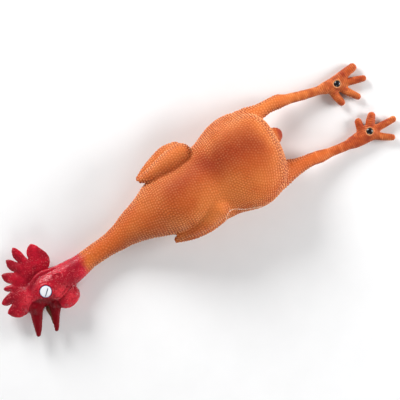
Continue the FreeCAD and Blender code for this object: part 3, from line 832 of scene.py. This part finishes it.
# Folds of the skin of the cheek and wattles, seen from the side: their points, and how deep they are.
FOLDS = [
    ([(-249.0, -51.6), (-239.0, -48.2), (-228.4, -43.6)], 0.75),
    ([(-251.0, -43.6), (-243.0, -41.2), (-235.0, -36.6)], 0.5),
    ([(-249.6, -47.6), (-241.0, -44.8), (-233.0, -40.2)], 0.45),
    ([(-246.6, -38.0), (-244.0, -44.0)], 0.3),
    ([(-224.6, -41.0), (-226.6, -47.2), (-226.0, -52.0)], 0.5),
    ([(-236.4, -52.0), (-239.6, -58.0), (-238.6, -63.6)], 0.3),
]


def fold_depth(points):
    """How deep the skin of the head is folded in: a groove with a raised lip above it."""
    depth = np.zeros(len(points))
    for line, deep in FOLDS:
        distance = line_distance(points, line)
        depth += deep * (np.exp(-(distance / 0.9) ** 2) - 0.5 * np.exp(-((distance - 2.1) / 1.1) ** 2))
    return depth * step_between(4.0, 7.0, np.abs(points[:, 2] - MIDPLANE))


# Places of the head with a painted highlight, where the red is paler: seen from the side, and how far they
# spread.
HIGHLIGHT_PLACES = [((-243, -43), 9.0), ((-287, -34), 7.0), ((-234, -55), 7.0)]


def relief(vertices, normals):
    """The vertices moved out along their normals by the skin's relief, and the masks that the paint needs."""
    x, y, z = vertices.T
    red = 1 - step_between(-207, -194, x + 2.2 * noise(vertices, 5, 3) + 0.8 * noise(vertices, 2, 4))
    legness = step_between(104, 118, x)
    off_floor = step_between(0.15, 1.6, z)
    nub = step_between(84, 92, x) * (np.abs(y - 10) < 14) * (x < 98)
    pebbly = (1 - legness) * (1 - 0.8 * nub) * (1 - step_between(198, 212, -x))
    zone = pebbly * off_floor > 0.01
    pebbles = pebble_profile(vertices, zone)
    s = limb_position(vertices) + 0.7 * noise(vertices, 6, 11)
    wave = np.abs(np.cos(math.pi * s / RING_PITCH))
    rings = np.sqrt(wave) * (0.72 + 0.4 * noise(vertices, 4, 12))
    lumps = 0.6 * noise(vertices, 3.4, 21) + 0.4 * noise(vertices, 1.7, 22)
    headness = step_between(208, 222, -x)
    broad = noise(vertices, 26, 31)
    coarse = 0.8 + 0.35 * noise(vertices, 14, 32)
    coarse = coarse * (1 - 0.5 * step_between(0.5, 0.97, normals[:, 2]))
    height = (PEBBLE_HEIGHT * coarse * (pebbles - 0.55) * pebbly + RING_HEIGHT * (rings - 0.7) * legness
              + 0.34 * lumps * headness - fold_depth(vertices) * headness
              + 0.5 * broad * (1 - headness) * (1 - legness))
    # The grooves between pebbles and rings: they get painted shade and a rougher finish.
    crease = np.maximum(1 - rings, 0) * legness + (1 - pebbles) * pebbly
    seam = seam_mask(vertices, normals)
    height = height * (1 - 0.6 * seam) + 0.35 * seam
    flat_places = step_between(EYE_RADIUS + 0.5, EYE_RADIUS + 2.2, np.hypot(x - EYE[0], y - EYE[1]))
    # rim: painted highlights, on the lips round the rivets and on bulges of the head.
    rim = np.zeros(len(vertices))
    for side in SIDES:
        centre = middle_mm(f"{side}_rivet")
        from_rivet = np.hypot(x - centre[0], y - centre[1]) - RIVET_RADIUS
        flat_places *= step_between(1.2, 2.6, from_rivet)
        # A painted highlight on the raised lip round each rivet's cap.
        rim += (1 - step_between(0.8, 1.8, from_rivet)) * (z > 9)
    for (px, py), spread in HIGHLIGHT_PLACES:
        rim += np.exp(-((x - px) ** 2 + (y - py) ** 2) / spread ** 2) * headness
    moved = vertices + normals * (height * off_floor * flat_places)[:, None]
    moved[:, 2] = np.maximum(moved[:, 2], 0)
    # Painted highlight on the tops of the pebbles and the ridges of the rings.
    knob_highlight = step_between(0.35, 1.0, pebbles) * pebbly + step_between(0.6, 1.0, rings) * legness
    masks = {
        "red": red, "crease": np.clip(crease, 0, 1), "seam": seam, "nub": nub, "rim": rim,
        "knob_highlight": knob_highlight * (0.7 + 0.5 * noise(vertices, 4.5, 71)),
        "foot": step_between(112, 172, x + 3 * noise(vertices, 9, 41)),
    }
    return moved, masks


# ------------------------------ colour masks and the division into pieces

BEAK_EDGE = [
    (-292.9, -48.6), (-286.4, -42.0), (-280.4, -38.9), (-273.5, -38.6), (-266, -40.6), (-257, -45.2),
    (-250.6, -51.6), (-250.4, -60), (-258, -96), (-310, -96), (-294.6, -52.0),
]
HEAD_EDGE = -224.0
# Where each flexure starts and stops bending.
ZONES = {
    "shoulder": ((-132, -9.5, 0), (-100, -9.5, 0)),
    "neck": ((-178, -18.8, 0), (-146, -18.8, 0)),
    "head": ((-224, -26.5, 0), (-192, -26.5, 0)),
    "hip": ((82, 0, 0), (102, 0, 0)),
    "hock": ((102, 0, 0), (126, 0, 0)),
    "ankle": ((150, 0, 0), (170, 0, 0)),
}
# Where the pieces of skin are divided.
CUTS = {"head": -188.0, "neck": -140.0, "shoulder": -92.0, "hip": 102.0, "hock": 136.0, "ankle": 174.0}


def beak_mask(points):
    field = outline_distance(np.array(BEAK_EDGE), points[:, 0], points[:, 1])
    return 1 - step_between(-0.9, 0.9, field + 0.5 * noise(points, 3, 51))


def lining_mask(points):
    """Where the lining of the mouth shows between the two halves of the beak."""
    others = [distance_at(name, points) for name in ("core", "saddle", "upper_beak", "lower_beak")]
    return 1 - step_between(-0.5, 0.3, distance_at("mouth_lining", points) - np.min(others, axis=0))


def labels_of(points):
    """Name of the piece that each point of the skin belongs to."""
    x, y, z = points.T
    names = np.full(len(points), "trunk_skin", dtype="<U24")
    names[x < CUTS["shoulder"]] = "shoulder_skin"
    names[x < CUTS["neck"]] = "neck_skin"
    names[x < CUTS["head"]] = "nape_skin"
    names[x < HEAD_EDGE] = "head_skin"
    body = trunk_distance(points)
    for wing in WINGS:
        names[(distance_at(wing, points) < body - 0.2) & (x > -97) & (x < 0)] = wing
    nub = distance_at("tail_nub", points)
    names[(nub < body) & (x > 76) & (x < CUTS["hip"]) & (np.abs(y - 10) < 14)] = "tail_nub"
    for side, here in (("left", y > 0), ("right", y <= 0)):
        leg = here & (x > ZONES["hip"][0][0]) & (names == "trunk_skin")
        leg &= (distance_at(f"{side}_leg", points) < body + 1.5) | (x > 98)
        for cut, name in (("hip", "hip_skin"), ("hock", "hock_skin"), ("ankle", "ankle_skin")):
            names[leg] = f"{side}_{name}"
            leg = leg & (x > CUTS[cut])
        names[leg] = f"{side}_palm"
        foot = here & (x > 168)
        best = distance_at(f"{side}_palm", points) - 0.4
        best = np.where(x < CUTS["ankle"], np.minimum(best, distance_at(f"{side}_leg", points)), best)
        for toe in TOES:
            if toe.startswith(side):
                distance = distance_at(toe, points)
                names[foot & (distance < best)] = toe
                best = np.minimum(best, distance)
    head = x < HEAD_EDGE + 6
    core = np.minimum(distance_at("core", points), distance_at("jaw", points))
    comb = np.minimum(distance_at("comb", points), distance_at("comb_root", points))
    names[head & (comb < core) & (y > -60)] = "comb"
    for side, own in (("left", z > MIDPLANE), ("right", z <= MIDPLANE)):
        names[head & own & (distance_at(f"{side}_wattle", points) < core - 0.3)] = f"{side}_wattle"
    beak = (beak_mask(points) > 0.5) & head
    upper = distance_at("upper_beak", points) < distance_at("lower_beak", points)
    names[beak & upper] = "upper_beak"
    names[beak & ~upper] = "lower_beak"
    names[(lining_mask(points) > 0.5) & head] = "mouth_lining"
    return names


# Pieces that ride on one body: the body, the CAD nodes that they replace, and the slot of their material.
RIDES = {"trunk_skin": ("trunk", ["trunk_skin", "left_thigh_root", "right_thigh_root"], "latex_orange")}
for body, slot, labels in (
        ("trunk", "latex_orange", ["left_wing", "right_wing", "tail_nub"]),
        ("head", "latex_red", ["head_skin", "comb", "left_wattle", "right_wattle"]),
        ("head", "latex_beak", ["upper_beak", "lower_beak"]),
        ("head", "latex_mouth", ["mouth_lining"]),
        ("left_foot", "latex_foot", ["left_palm", *(toe for toe in TOES if toe.startswith("left"))]),
        ("right_foot", "latex_foot", ["right_palm", *(toe for toe in TOES if toe.startswith("right"))])):
    for label in labels:
        RIDES[label] = (body, [label], slot)
# Pieces that bend: the body at either end of the zone, the zone, the CAD nodes and the slot.
BENDS = {
    "shoulder_skin": ("neck_lower", "trunk", "shoulder", ["shoulder_flexure"], "latex_orange"),
    "neck_skin": ("neck_upper", "neck_lower", "neck", ["neck_flexure", "neck_lower_skin"], "latex_orange"),
    "nape_skin": ("head", "neck_upper", "head", ["head_flexure", "neck_upper_skin"], "latex_red"),
}
for side in SIDES:
    thigh, shank, foot = (f"{side}_{part}" for part in ("thigh", "shank", "foot"))
    for first, second, zone, firm, slot in (
            ("trunk", thigh, "hip", [f"{thigh}_skin"], "latex_orange"),
            (thigh, shank, "hock", [f"{shank}_skin"], "latex_orange"),
            (shank, foot, "ankle", [], "latex_foot")):
        BENDS[f"{side}_{zone}_skin"] = (first, second, zone, [f"{side}_{zone}_flexure", *firm], slot)


def add_object(name, data):
    obj = bpy.data.objects.new(name, data)
    bpy.context.scene.collection.objects.link(obj)
    return obj


def build_mesh(name, vertices, faces, normals=None):
    """A mesh object from arrays in millimetres."""
    mesh = bpy.data.meshes.new(name)
    corners = faces.shape[1]
    mesh.vertices.add(len(vertices))
    mesh.vertices.foreach_set("co", (vertices * MM).astype(np.float32).ravel())
    mesh.loops.add(faces.size)
    mesh.loops.foreach_set("vertex_index", faces.astype(np.int32).ravel())
    mesh.polygons.add(len(faces))
    mesh.polygons.foreach_set("loop_start", np.arange(0, faces.size, corners, dtype=np.int32))
    mesh.update(calc_edges=True)
    mesh.polygons.foreach_set("use_smooth", np.ones(len(faces), bool))
    if normals is not None:
        mesh.normals_split_custom_set_from_vertices(normals.astype(np.float32).tolist())
    return add_object(name, mesh)


def add_colour(obj, name, columns):
    data = np.clip(np.stack(columns, axis=1), 0, 1).astype(np.float32)
    attribute = obj.data.attributes.new(name, "FLOAT_COLOR", "POINT")
    attribute.data.foreach_set("color", data.ravel())


def add_rest(obj, points):
    attribute = obj.data.attributes.new("rest", "FLOAT_VECTOR", "POINT")
    attribute.data.foreach_set("vector", (points * MM).astype(np.float32).ravel())


# ------------------------------ materials

class Nodes:
    """Short ways to add shader nodes to a material."""

    def __init__(self, name):
        self.material = bpy.data.materials.new(name)
        self.material.use_nodes = True
        self.tree = self.material.node_tree
        self.shader = self.tree.nodes["Principled BSDF"]

    def put(self, socket, value):
        if isinstance(value, bpy.types.NodeSocket):
            self.tree.links.new(value, socket)
        else:
            socket.default_value = value

    def new(self, kind, inputs=(), **settings):
        node = self.tree.nodes.new(kind)
        for key, value in settings.items():
            setattr(node, key, value)
        for key, value in dict(inputs).items():
            self.put(node.inputs[key], value)
        return node

    def math(self, operation, a, b=0.0, clamp=False):
        return self.new("ShaderNodeMath", {0: a, 1: b}, operation=operation, use_clamp=clamp).outputs[0]

    def times(self, a, b, clamp=False):
        return self.math("MULTIPLY", a, b, clamp)

    def mix(self, factor, a, b):
        return self.new("ShaderNodeMix", {0: factor, 6: a, 7: b}, data_type="RGBA").outputs[2]

    def between(self, value, low, high):
        inputs = {"Value": value, "From Min": low, "From Max": high}
        return self.new("ShaderNodeMapRange", inputs, interpolation_type="SMOOTHSTEP").outputs[0]

    def noise(self, where, scale, detail=3.0):
        return self.new("ShaderNodeTexNoise", {"Vector": where, "Scale": scale, "Detail": detail}).outputs[0]

    def channels(self, name):
        node = self.new("ShaderNodeAttribute", attribute_name=name)
        parts = self.new("ShaderNodeSeparateColor", {0: node.outputs["Color"]})
        return [*parts.outputs, node.outputs["Alpha"]]


def colour(red, green, blue):
    """A colour given as it looks on screen, from 0 to 255, as the linear values a shader takes."""
    return (*[((c / 255 + 0.055) / 1.055) ** 2.4 for c in (red, green, blue)], 1.0)


ORANGE_LIGHT = colour(226, 124, 54)
ORANGE = colour(210, 100, 34)
# colour of the crest: painted shade, partly the toy's own deeper orange
ORANGE_CREST = colour(158, 48, 4)
ORANGE_GROOVE_SHADE = colour(132, 46, 18)
# painted highlight on pebble tops, ring ridges and the lips round the rivets
KNOB_HIGHLIGHT = colour(254, 200, 142)
SHADE = colour(120, 56, 34)
FOOT_LIGHT = colour(224, 124, 58)
FOOT = colour(208, 92, 34)
# painted shade on the camera-facing tops of the toes
FOOT_TOP_SHADE = colour(168, 50, 18)
FOOT_GROOVE_SHADE = colour(112, 32, 14)
NUB = colour(150, 48, 18)
SEAM_PAINT = colour(240, 205, 180)
CRIMSON = colour(196, 18, 44)
CRIMSON_DEEP = colour(146, 6, 30)
CRIMSON_HIGHLIGHT = colour(226, 60, 70)
# painted glints on the red skin
CRIMSON_GLINT = colour(236, 112, 112)
BEAK = colour(128, 0, 20)
BEAK_DEEP = colour(104, 0, 14)
MOUTH = colour(112, 60, 36)
MOUTH_DEEP = colour(84, 50, 28)


def make_latex(name, roughness, specular=0.5, coat=0.0):
    """Painted latex: one logic of colours for all its pieces, so that no seam shows between them."""
    n = Nodes(name)
    rest = n.new("ShaderNodeAttribute", attribute_name="rest").outputs["Vector"]
    red, beak, foot, mouth = n.channels("paint")
    crease, crest, seam, nub = n.channels("tone")
    shade, knob_highlight, facing, rim = n.channels("light_and_shade")
    # Stronger on the flanks, where the side lights graze the skin: it scales the painted highlight on the
    # pebbles and the painted shade in their grooves.
    grazing_light = n.math("SUBTRACT", 1.0, n.times(facing, 0.78))
    cloud = n.noise(rest, 38)
    grain = n.noise(rest, 420, 4.0)
    patch = n.between(n.noise(rest, 16, 2.0), 0.38, 0.62)
    body = n.mix(patch, ORANGE_LIGHT, ORANGE)
    # painted shade on the camera-facing crest, partly the toy's own deeper orange
    body = n.mix(crest, body, ORANGE_CREST)
    # Painted shade in the grooves between the pebbles, stronger on the flanks.
    body = n.mix(n.times(n.times(crease, 1.15), grazing_light, clamp=True), body, ORANGE_GROOVE_SHADE)
    toes = n.mix(patch, FOOT_LIGHT, FOOT)
    # Painted shade on the tops of the toes that face the camera, where the side lights reach least.
    toes = n.mix(n.times(facing, n.between(n.noise(rest, 130, 2.0), 0.40, 0.75)), toes, FOOT_TOP_SHADE)
    # Painted shade in the grooves between the rings of the toes.
    toes = n.mix(n.times(crease, 0.85), toes, FOOT_GROOVE_SHADE)
    # Pebble tops and ring ridges get a painted highlight, stronger on the flanks, and so does the lip round
    # each rivet; the lower flanks get painted shade.
    for factor, paint in ((n.times(foot, 0.9), toes), (nub, NUB), (n.times(shade, 0.5), SHADE),
                          (n.times(n.times(knob_highlight, 0.52), grazing_light), KNOB_HIGHLIGHT), (n.times(rim, 0.4), KNOB_HIGHLIGHT),
                          (n.times(seam, 0.8), SEAM_PAINT)):
        body = n.mix(factor, body, paint)
    blot = n.between(n.noise(rest, 300, 3.0), 0.52, 0.66)
    # Pale specks on the red skin: painted glints of its small lumps.
    glint_specks = n.times(n.between(n.noise(rest, 640, 2.0), 0.56, 0.68), n.between(n.noise(rest, 70), 0.35, 0.6))
    crimson = n.mix(n.between(cloud, 0.35, 0.65), CRIMSON, CRIMSON_DEEP)
    # On the head the rim mask paints highlights in pale red.
    for factor, paint in ((n.times(rim, 0.55), CRIMSON_HIGHLIGHT), (n.times(blot, 0.55), CRIMSON_DEEP),
                          (n.times(glint_specks, 0.5), CRIMSON_GLINT)):
        crimson = n.mix(factor, crimson, paint)
    skin = n.mix(red, body, crimson)
    skin = n.mix(beak, skin, n.mix(cloud, BEAK, BEAK_DEEP))
    skin = n.mix(mouth, skin, n.mix(cloud, MOUTH, MOUTH_DEEP))
    n.put(n.shader.inputs["Base Color"], skin)
    wear = n.math("ADD", roughness, n.times(n.math("SUBTRACT", cloud, 0.5), 0.22))
    wear = n.math("ADD", wear, n.times(facing, 0.2))
    wear = n.math("SUBTRACT", wear, n.times(red, 0.2))
    n.put(n.shader.inputs["Roughness"], n.math("ADD", wear, n.times(crease, 0.12)))
    n.shader.inputs["Specular IOR Level"].default_value = specular
    n.shader.inputs["Coat Weight"].default_value = coat
    n.shader.inputs["Coat Roughness"].default_value = 0.10
    n.shader.inputs["Subsurface Weight"].default_value = 0.12
    n.shader.inputs["Subsurface Scale"].default_value = 0.004
    n.shader.inputs["Subsurface Radius"].default_value = (1.0, 0.35, 0.15)
    bump = n.new("ShaderNodeBump", {"Height": grain, "Strength": 0.16, "Distance": 0.0004})
    cells = n.new("ShaderNodeTexVoronoi", {"Vector": rest, "Scale": 620.0}).outputs["Distance"]
    stipple = n.new("ShaderNodeBump", {"Height": n.math("SUBTRACT", 1.0, cells), "Distance": 0.0006,
                                       "Strength": n.times(red, 0.5), "Normal": bump.outputs[0]})
    n.put(n.shader.inputs["Normal"], stipple.outputs[0])
    return n.material


CLOUD_SCALE = 90


def make_plain(name, light, dark, roughness, metallic=0.0, coat=0.0):
    """Paint, plastic or metal with a slightly uneven tone and sheen."""
    n = Nodes(name)
    where = n.new("ShaderNodeTexCoord").outputs["Object"]
    cloud = n.noise(where, CLOUD_SCALE, 4.0)
    n.put(n.shader.inputs["Base Color"], n.mix(cloud, colour(*light), colour(*dark)))
    n.put(n.shader.inputs["Roughness"], n.math("ADD", roughness - 0.1, n.times(cloud, 0.2)))
    n.shader.inputs["Metallic"].default_value = metallic
    n.shader.inputs["Coat Weight"].default_value = coat
    grain = n.noise(where, CLOUD_SCALE * 9)
    bump = n.new("ShaderNodeBump", {"Height": grain, "Strength": 0.1, "Distance": 0.0002})
    n.put(n.shader.inputs["Normal"], bump.outputs[0])
    return n.material


materials = {
    "latex_orange": make_latex("latex_orange", 0.42, 0.25),
    "latex_foot": make_latex("latex_foot", 0.42, 0.25),
    "latex_red": make_latex("latex_red", 0.42, 0.20, 0.12),
    "latex_beak": make_latex("latex_beak", 0.42, 0.12, 0.03),
    "latex_mouth": make_latex("latex_mouth", 0.55, 0.22),
    "eye_disc": make_plain("eye_disc", (246, 246, 248), (232, 234, 240), 0.35, coat=0.3),
    "eye_rim": make_plain("eye_rim", (128, 140, 190), (84, 96, 150), 0.35, coat=0.2),
    "eye_ink": make_plain("eye_ink", (58, 74, 104), (36, 48, 76), 0.35, coat=0.2),
    "rivet_black": make_plain("rivet_black", (26, 22, 28), (12, 10, 14), 0.22, coat=0.8),
    "washer_steel": make_plain("washer_steel", (150, 150, 152), (110, 110, 112), 0.35, metallic=1.0),
}


def dress(obj, body, slot, material=None):
    obj.data.materials.append(materials[material or slot])
    if body:
        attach(obj, body)


# ------------------------------ eyes and rivets

def turned(name, profile, centre, segments=48):
    """A solid of revolution about an upright axis, from its profile (radius, height)."""
    profile = np.array(profile, float)
    angles = np.linspace(0, 2 * math.pi, segments, endpoint=False)
    rows = np.stack([np.outer(profile[:, 0], np.cos(angles)), np.outer(profile[:, 0], np.sin(angles)),
                     np.repeat(profile[:, 1:], segments, axis=1)], axis=2)
    vertices = rows.reshape(-1, 3) + np.array([centre[0], centre[1], 0])
    last = (len(profile) - 1) * segments
    faces = []
    for row in range(0, last, segments):
        for k in range(segments):
            m = (k + 1) % segments
            faces.append((row + k, row + m, row + segments + m, row + segments + k))
    faces += [tuple(range(segments))[::-1], tuple(range(last, last + segments))]
    mesh = bpy.data.meshes.new(name)
    mesh.from_pydata((vertices * MM).tolist(), [], faces)
    mesh.polygons.foreach_set("use_smooth", np.ones(len(mesh.polygons), bool))
    mesh.set_sharp_from_angle(angle=math.radians(50))
    return add_object(name, mesh)


SLIT_ENDS = ((-254.2, -31.8), (-262.3, -40.2))
SLIT_WIDTHS = ((0, 0.2), (0.15, 0.48), (0.5, 0.55), (0.85, 0.45), (1, 0.15))     # how far along, half width


def make_slit(name, height, up):
    """The pupil: a thin sliver standing a little out of the eye disc, on the side that up points to."""
    start, end = (np.array(point) for point in SLIT_ENDS)
    way = (end - start) / np.linalg.norm(end - start)
    across = np.array([-way[1], way[0]])
    stations = [(start + (end - start) * s, half) for s, half in SLIT_WIDTHS]
    top = [(*(p + across * half), height + up * 0.14) for p, half in stations]
    top += [(*(p - across * half), height + up * 0.14) for p, half in stations[::-1]]
    bottom = [(x, y, height - up * 0.6) for x, y, _ in top]
    count = len(top)
    sides = [tuple(range(count)), tuple(range(count, 2 * count))[::-1]]
    sides += [(k, count + k, count + (k + 1) % count, (k + 1) % count) for k in range(count)]
    mesh = bpy.data.meshes.new(name)
    mesh.from_pydata((np.array(top + bottom) * MM).tolist(), [], [side[::-up] for side in sides])
    return add_object(name, mesh)


def make_eye(side):
    low, high = box_mm(f"{side}_eye")
    up, base, face = (1, low[2], high[2]) if side == "left" else (-1, high[2], low[2])
    r = EYE_RADIUS

    def outward(share, rise):
        return r * share, face + up * rise

    dome = [outward(*place) for place in ((0.97, -0.75), (0.93, -0.35), (0.80, -0.14), (0.4, -0.02))]
    dome = [(r * 0.97, base), *dome, (0.3, face)]
    band = ((0.95, -0.50), (0.96, -0.14), (0.985, -0.12), (1, -0.45), (1, -1.2))
    band = [outward(*place) for place in band]
    disc = turned(f"look_{side}_eye", dome[::up], EYE)
    rim = turned(f"look_{side}_eye_rim", band[::-up], EYE)
    slit = make_slit(f"look_{side}_pupil", face, up)
    dress(disc, "head", "eye_disc")
    dress(rim, "head", "eye_disc", "eye_rim")
    dress(slit, "head", "eye_disc", "eye_ink")
    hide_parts(f"{side}_eye")


CAP_HEIGHT = 2.6                            # of the cap above its seat, edge and dome together
CAP_EDGE = 0.5
POST_RADIUS = 1.6
BORE_RADIUS = 1.75
WASHER_EDGE = 0.2


def make_rivet(side):
    low, high = box_mm(f"{side}_rivet")
    centre = middle_mm(f"{side}_rivet")
    r = RIVET_RADIUS
    seat = high[2] - CAP_HEIGHT
    rise = CAP_HEIGHT - CAP_EDGE
    angles = np.linspace(0, math.pi / 2 - 0.05, 9)
    dome = [(r * math.cos(a), seat + CAP_EDGE + rise * math.sin(a)) for a in angles]
    post = [(POST_RADIUS, low[2]), (POST_RADIUS, seat), (r, seat)]
    cap = turned(f"look_{side}_rivet", post + dome, centre)
    low, high = box_mm(f"{side}_rivet_washer")
    outer = (high - low)[0] / 2
    section = [(BORE_RADIUS, low[2]), (outer - WASHER_EDGE, low[2]), (outer, low[2] + WASHER_EDGE),
               (outer, high[2] - WASHER_EDGE), (outer - WASHER_EDGE, high[2]), (BORE_RADIUS, high[2])]
    washer = turned(f"look_{side}_washer", section, centre)
    dress(cap, f"{side}_foot", "rivet_black")
    dress(washer, f"{side}_foot", "washer_steel")
    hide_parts(f"{side}_rivet")
    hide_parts(f"{side}_rivet_washer")


# ------------------------------ build the bird

CREST_LINE = 15.0                           # y of the crest along the breast and belly: painted shade where it faces the camera, partly the toy's own deeper orange
SHADE_TURN = 27.0                           # direction of the flanks that are painted darker
# The attributes that the paint reads, and the mask in each of their channels.
CHANNELS = {
    "paint": ("red", "beak", "foot", "mouth"),
    # painted shade, painted highlight on pebbles and rings, the facing mask, painted highlights on rivet lips
    # and head
    "light_and_shade": ("shade", "knob_highlight", "facing", "rim"),
    "tone": ("crease", "crest", "seam", "nub"),
}

clay = sculpt()
vertices, faces = skin_of(clay)
smooth_skin = settle(vertices, faces, clay, 3)
slope = clay.slope(smooth_skin)
outward_ways = slope / np.maximum(np.linalg.norm(slope, axis=1, keepdims=True), 1e-6)
vertices, masks = relief(smooth_skin, outward_ways)
normals = normals_of(vertices, faces)
x, y, z = smooth_skin.T
masks["beak"] = beak_mask(smooth_skin) * (x < HEAD_EDGE)
masks["mouth"] = lining_mask(smooth_skin) * (x < HEAD_EDGE)
masks["facing"] = step_between(0.30, 0.97, outward_ways[:, 2])
aside = y - CREST_LINE
# Painted shade on the crest of the breast and belly where it faces the camera and the side lights reach it
# least, partly the toy's own deeper orange.
inner = np.exp(-(aside / np.where(aside > 0, 28.0, 26.0)) ** 2) * step_between(-150, -50, x)
crest = step_between(0.50, 0.97, outward_ways[:, 2]) * inner * (1 - step_between(56, 80, x))
masks["crest"] = np.clip(crest * (0.86 + 0.2 * noise(smooth_skin, 22, 61)), 0, 1)
turn = math.radians(SHADE_TURN)
down_picture = np.array([-math.sin(turn), -math.cos(turn), 0])
masks["shade"] = step_between(0.25, 0.95, outward_ways @ down_picture) * (1 - step_between(24, 58, z))
labels = labels_of(smooth_skin[faces].mean(axis=1))
for label in sorted(set(RIDES) | set(BENDS)):
    chosen = faces[labels == label]
    used, numbered = np.unique(chosen, return_inverse=True)
    obj = build_mesh(f"look_{label}", vertices[used], numbered.reshape(-1, 4), normals[used])
    add_rest(obj, smooth_skin[used])
    for name, channels in CHANNELS.items():
        add_colour(obj, name, [masks[channel][used] for channel in channels])
    if label in RIDES:
        body, nodes, slot = RIDES[label]
        dress(obj, body, slot)
    else:
        first, second, zone, nodes, slot = BENDS[label]
        dress(obj, None, slot)
        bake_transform(obj)
    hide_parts(*nodes)
for side in SIDES:
    make_eye(side)
    make_rivet(side)


# ------------------------------ stage, light and camera

FLOOR_SIZE = 8.0


def make_stage():
    half = FLOOR_SIZE / MM / 2
    corners = np.array([(-half, -half, 0), (half, -half, 0), (half, half, 0), (-half, half, 0)])
    floor = build_mesh("floor", corners, np.array([[0, 1, 2, 3]]))
    paper = Nodes("paper")
    where = paper.new("ShaderNodeTexCoord").outputs["Object"]
    cloud = paper.noise(where, 30)
    white = paper.mix(cloud, colour(250, 250, 250), colour(245, 245, 245))
    paper.put(paper.shader.inputs["Base Color"], white)
    paper.shader.inputs["Roughness"].default_value = 0.9
    floor.data.materials.append(paper.material)


BIRD_MIDDLE = (0, 0, 0.03)                  # what the lights point at


def area_light(name, location, size, power):
    light = bpy.data.lights.new(name, "AREA")
    light.shape = "DISK"
    light.size = size
    light.energy = power
    obj = add_object(name, light)
    obj.location = location
    obj.rotation_euler = (Vector(BIRD_MIDDLE) - Vector(location)).to_track_quat("-Z", "Y").to_euler()


WORLD_LIGHT = (0.75, 0.10)                  # the world's strength at the horizon and overhead


def make_world():
    """Soft light that comes from all round the horizon and hardly from above."""
    world = bpy.data.worlds.new("world")
    bpy.context.scene.world = world
    world.use_nodes = True
    tree = world.node_tree
    where = tree.nodes.new("ShaderNodeTexCoord")
    parts = tree.nodes.new("ShaderNodeSeparateXYZ")
    ramp = tree.nodes.new("ShaderNodeMapRange")
    ramp.interpolation_type = "SMOOTHSTEP"
    ramp.inputs["From Min"].default_value = 0.15
    ramp.inputs["From Max"].default_value = 0.75
    ramp.inputs["To Min"].default_value = WORLD_LIGHT[0]
    ramp.inputs["To Max"].default_value = WORLD_LIGHT[1]
    tree.links.new(where.outputs["Generated"], parts.inputs[0])
    tree.links.new(parts.outputs["Z"], ramp.inputs["Value"])
    tree.links.new(ramp.outputs[0], tree.nodes["Background"].inputs["Strength"])
    tree.nodes["Background"].inputs["Color"].default_value = (0.97, 0.98, 1, 1)


PICTURE_TURN = math.radians(-27.0)
VIEW_WIDTH = 0.5                            # what the picture's width takes in at that middle's height
CAMERA_HEIGHT = 2.4
CAMERA_PLACE = (-0.0357, -0.0201)
SENSOR = 36.0


def on_picture(right, up, height):
    """A place given along the picture's right and up, seen from above."""
    c, s = math.cos(PICTURE_TURN), math.sin(PICTURE_TURN)
    return right * c - up * s, right * s + up * c, height


def make_camera():
    data = bpy.data.cameras.new("camera")
    data.sensor_width = SENSOR
    data.lens = SENSOR * (CAMERA_HEIGHT - BIRD_MIDDLE[2]) / VIEW_WIDTH
    camera = add_object("camera", data)
    camera.location = (*CAMERA_PLACE, CAMERA_HEIGHT)
    camera.rotation_euler = (0, 0, PICTURE_TURN)
    bpy.context.scene.camera = camera


bpy.context.scene.view_settings.view_transform = "Standard"
make_stage()
make_camera()
area_light("key", on_picture(-0.9, 1.2, 0.75), 0.8, 31)
area_light("side", on_picture(1.5, 0.25, 0.6), 0.8, 24)
area_light("fill", on_picture(-0.2, -1.6, 0.9), 1.0, 10)
make_world()
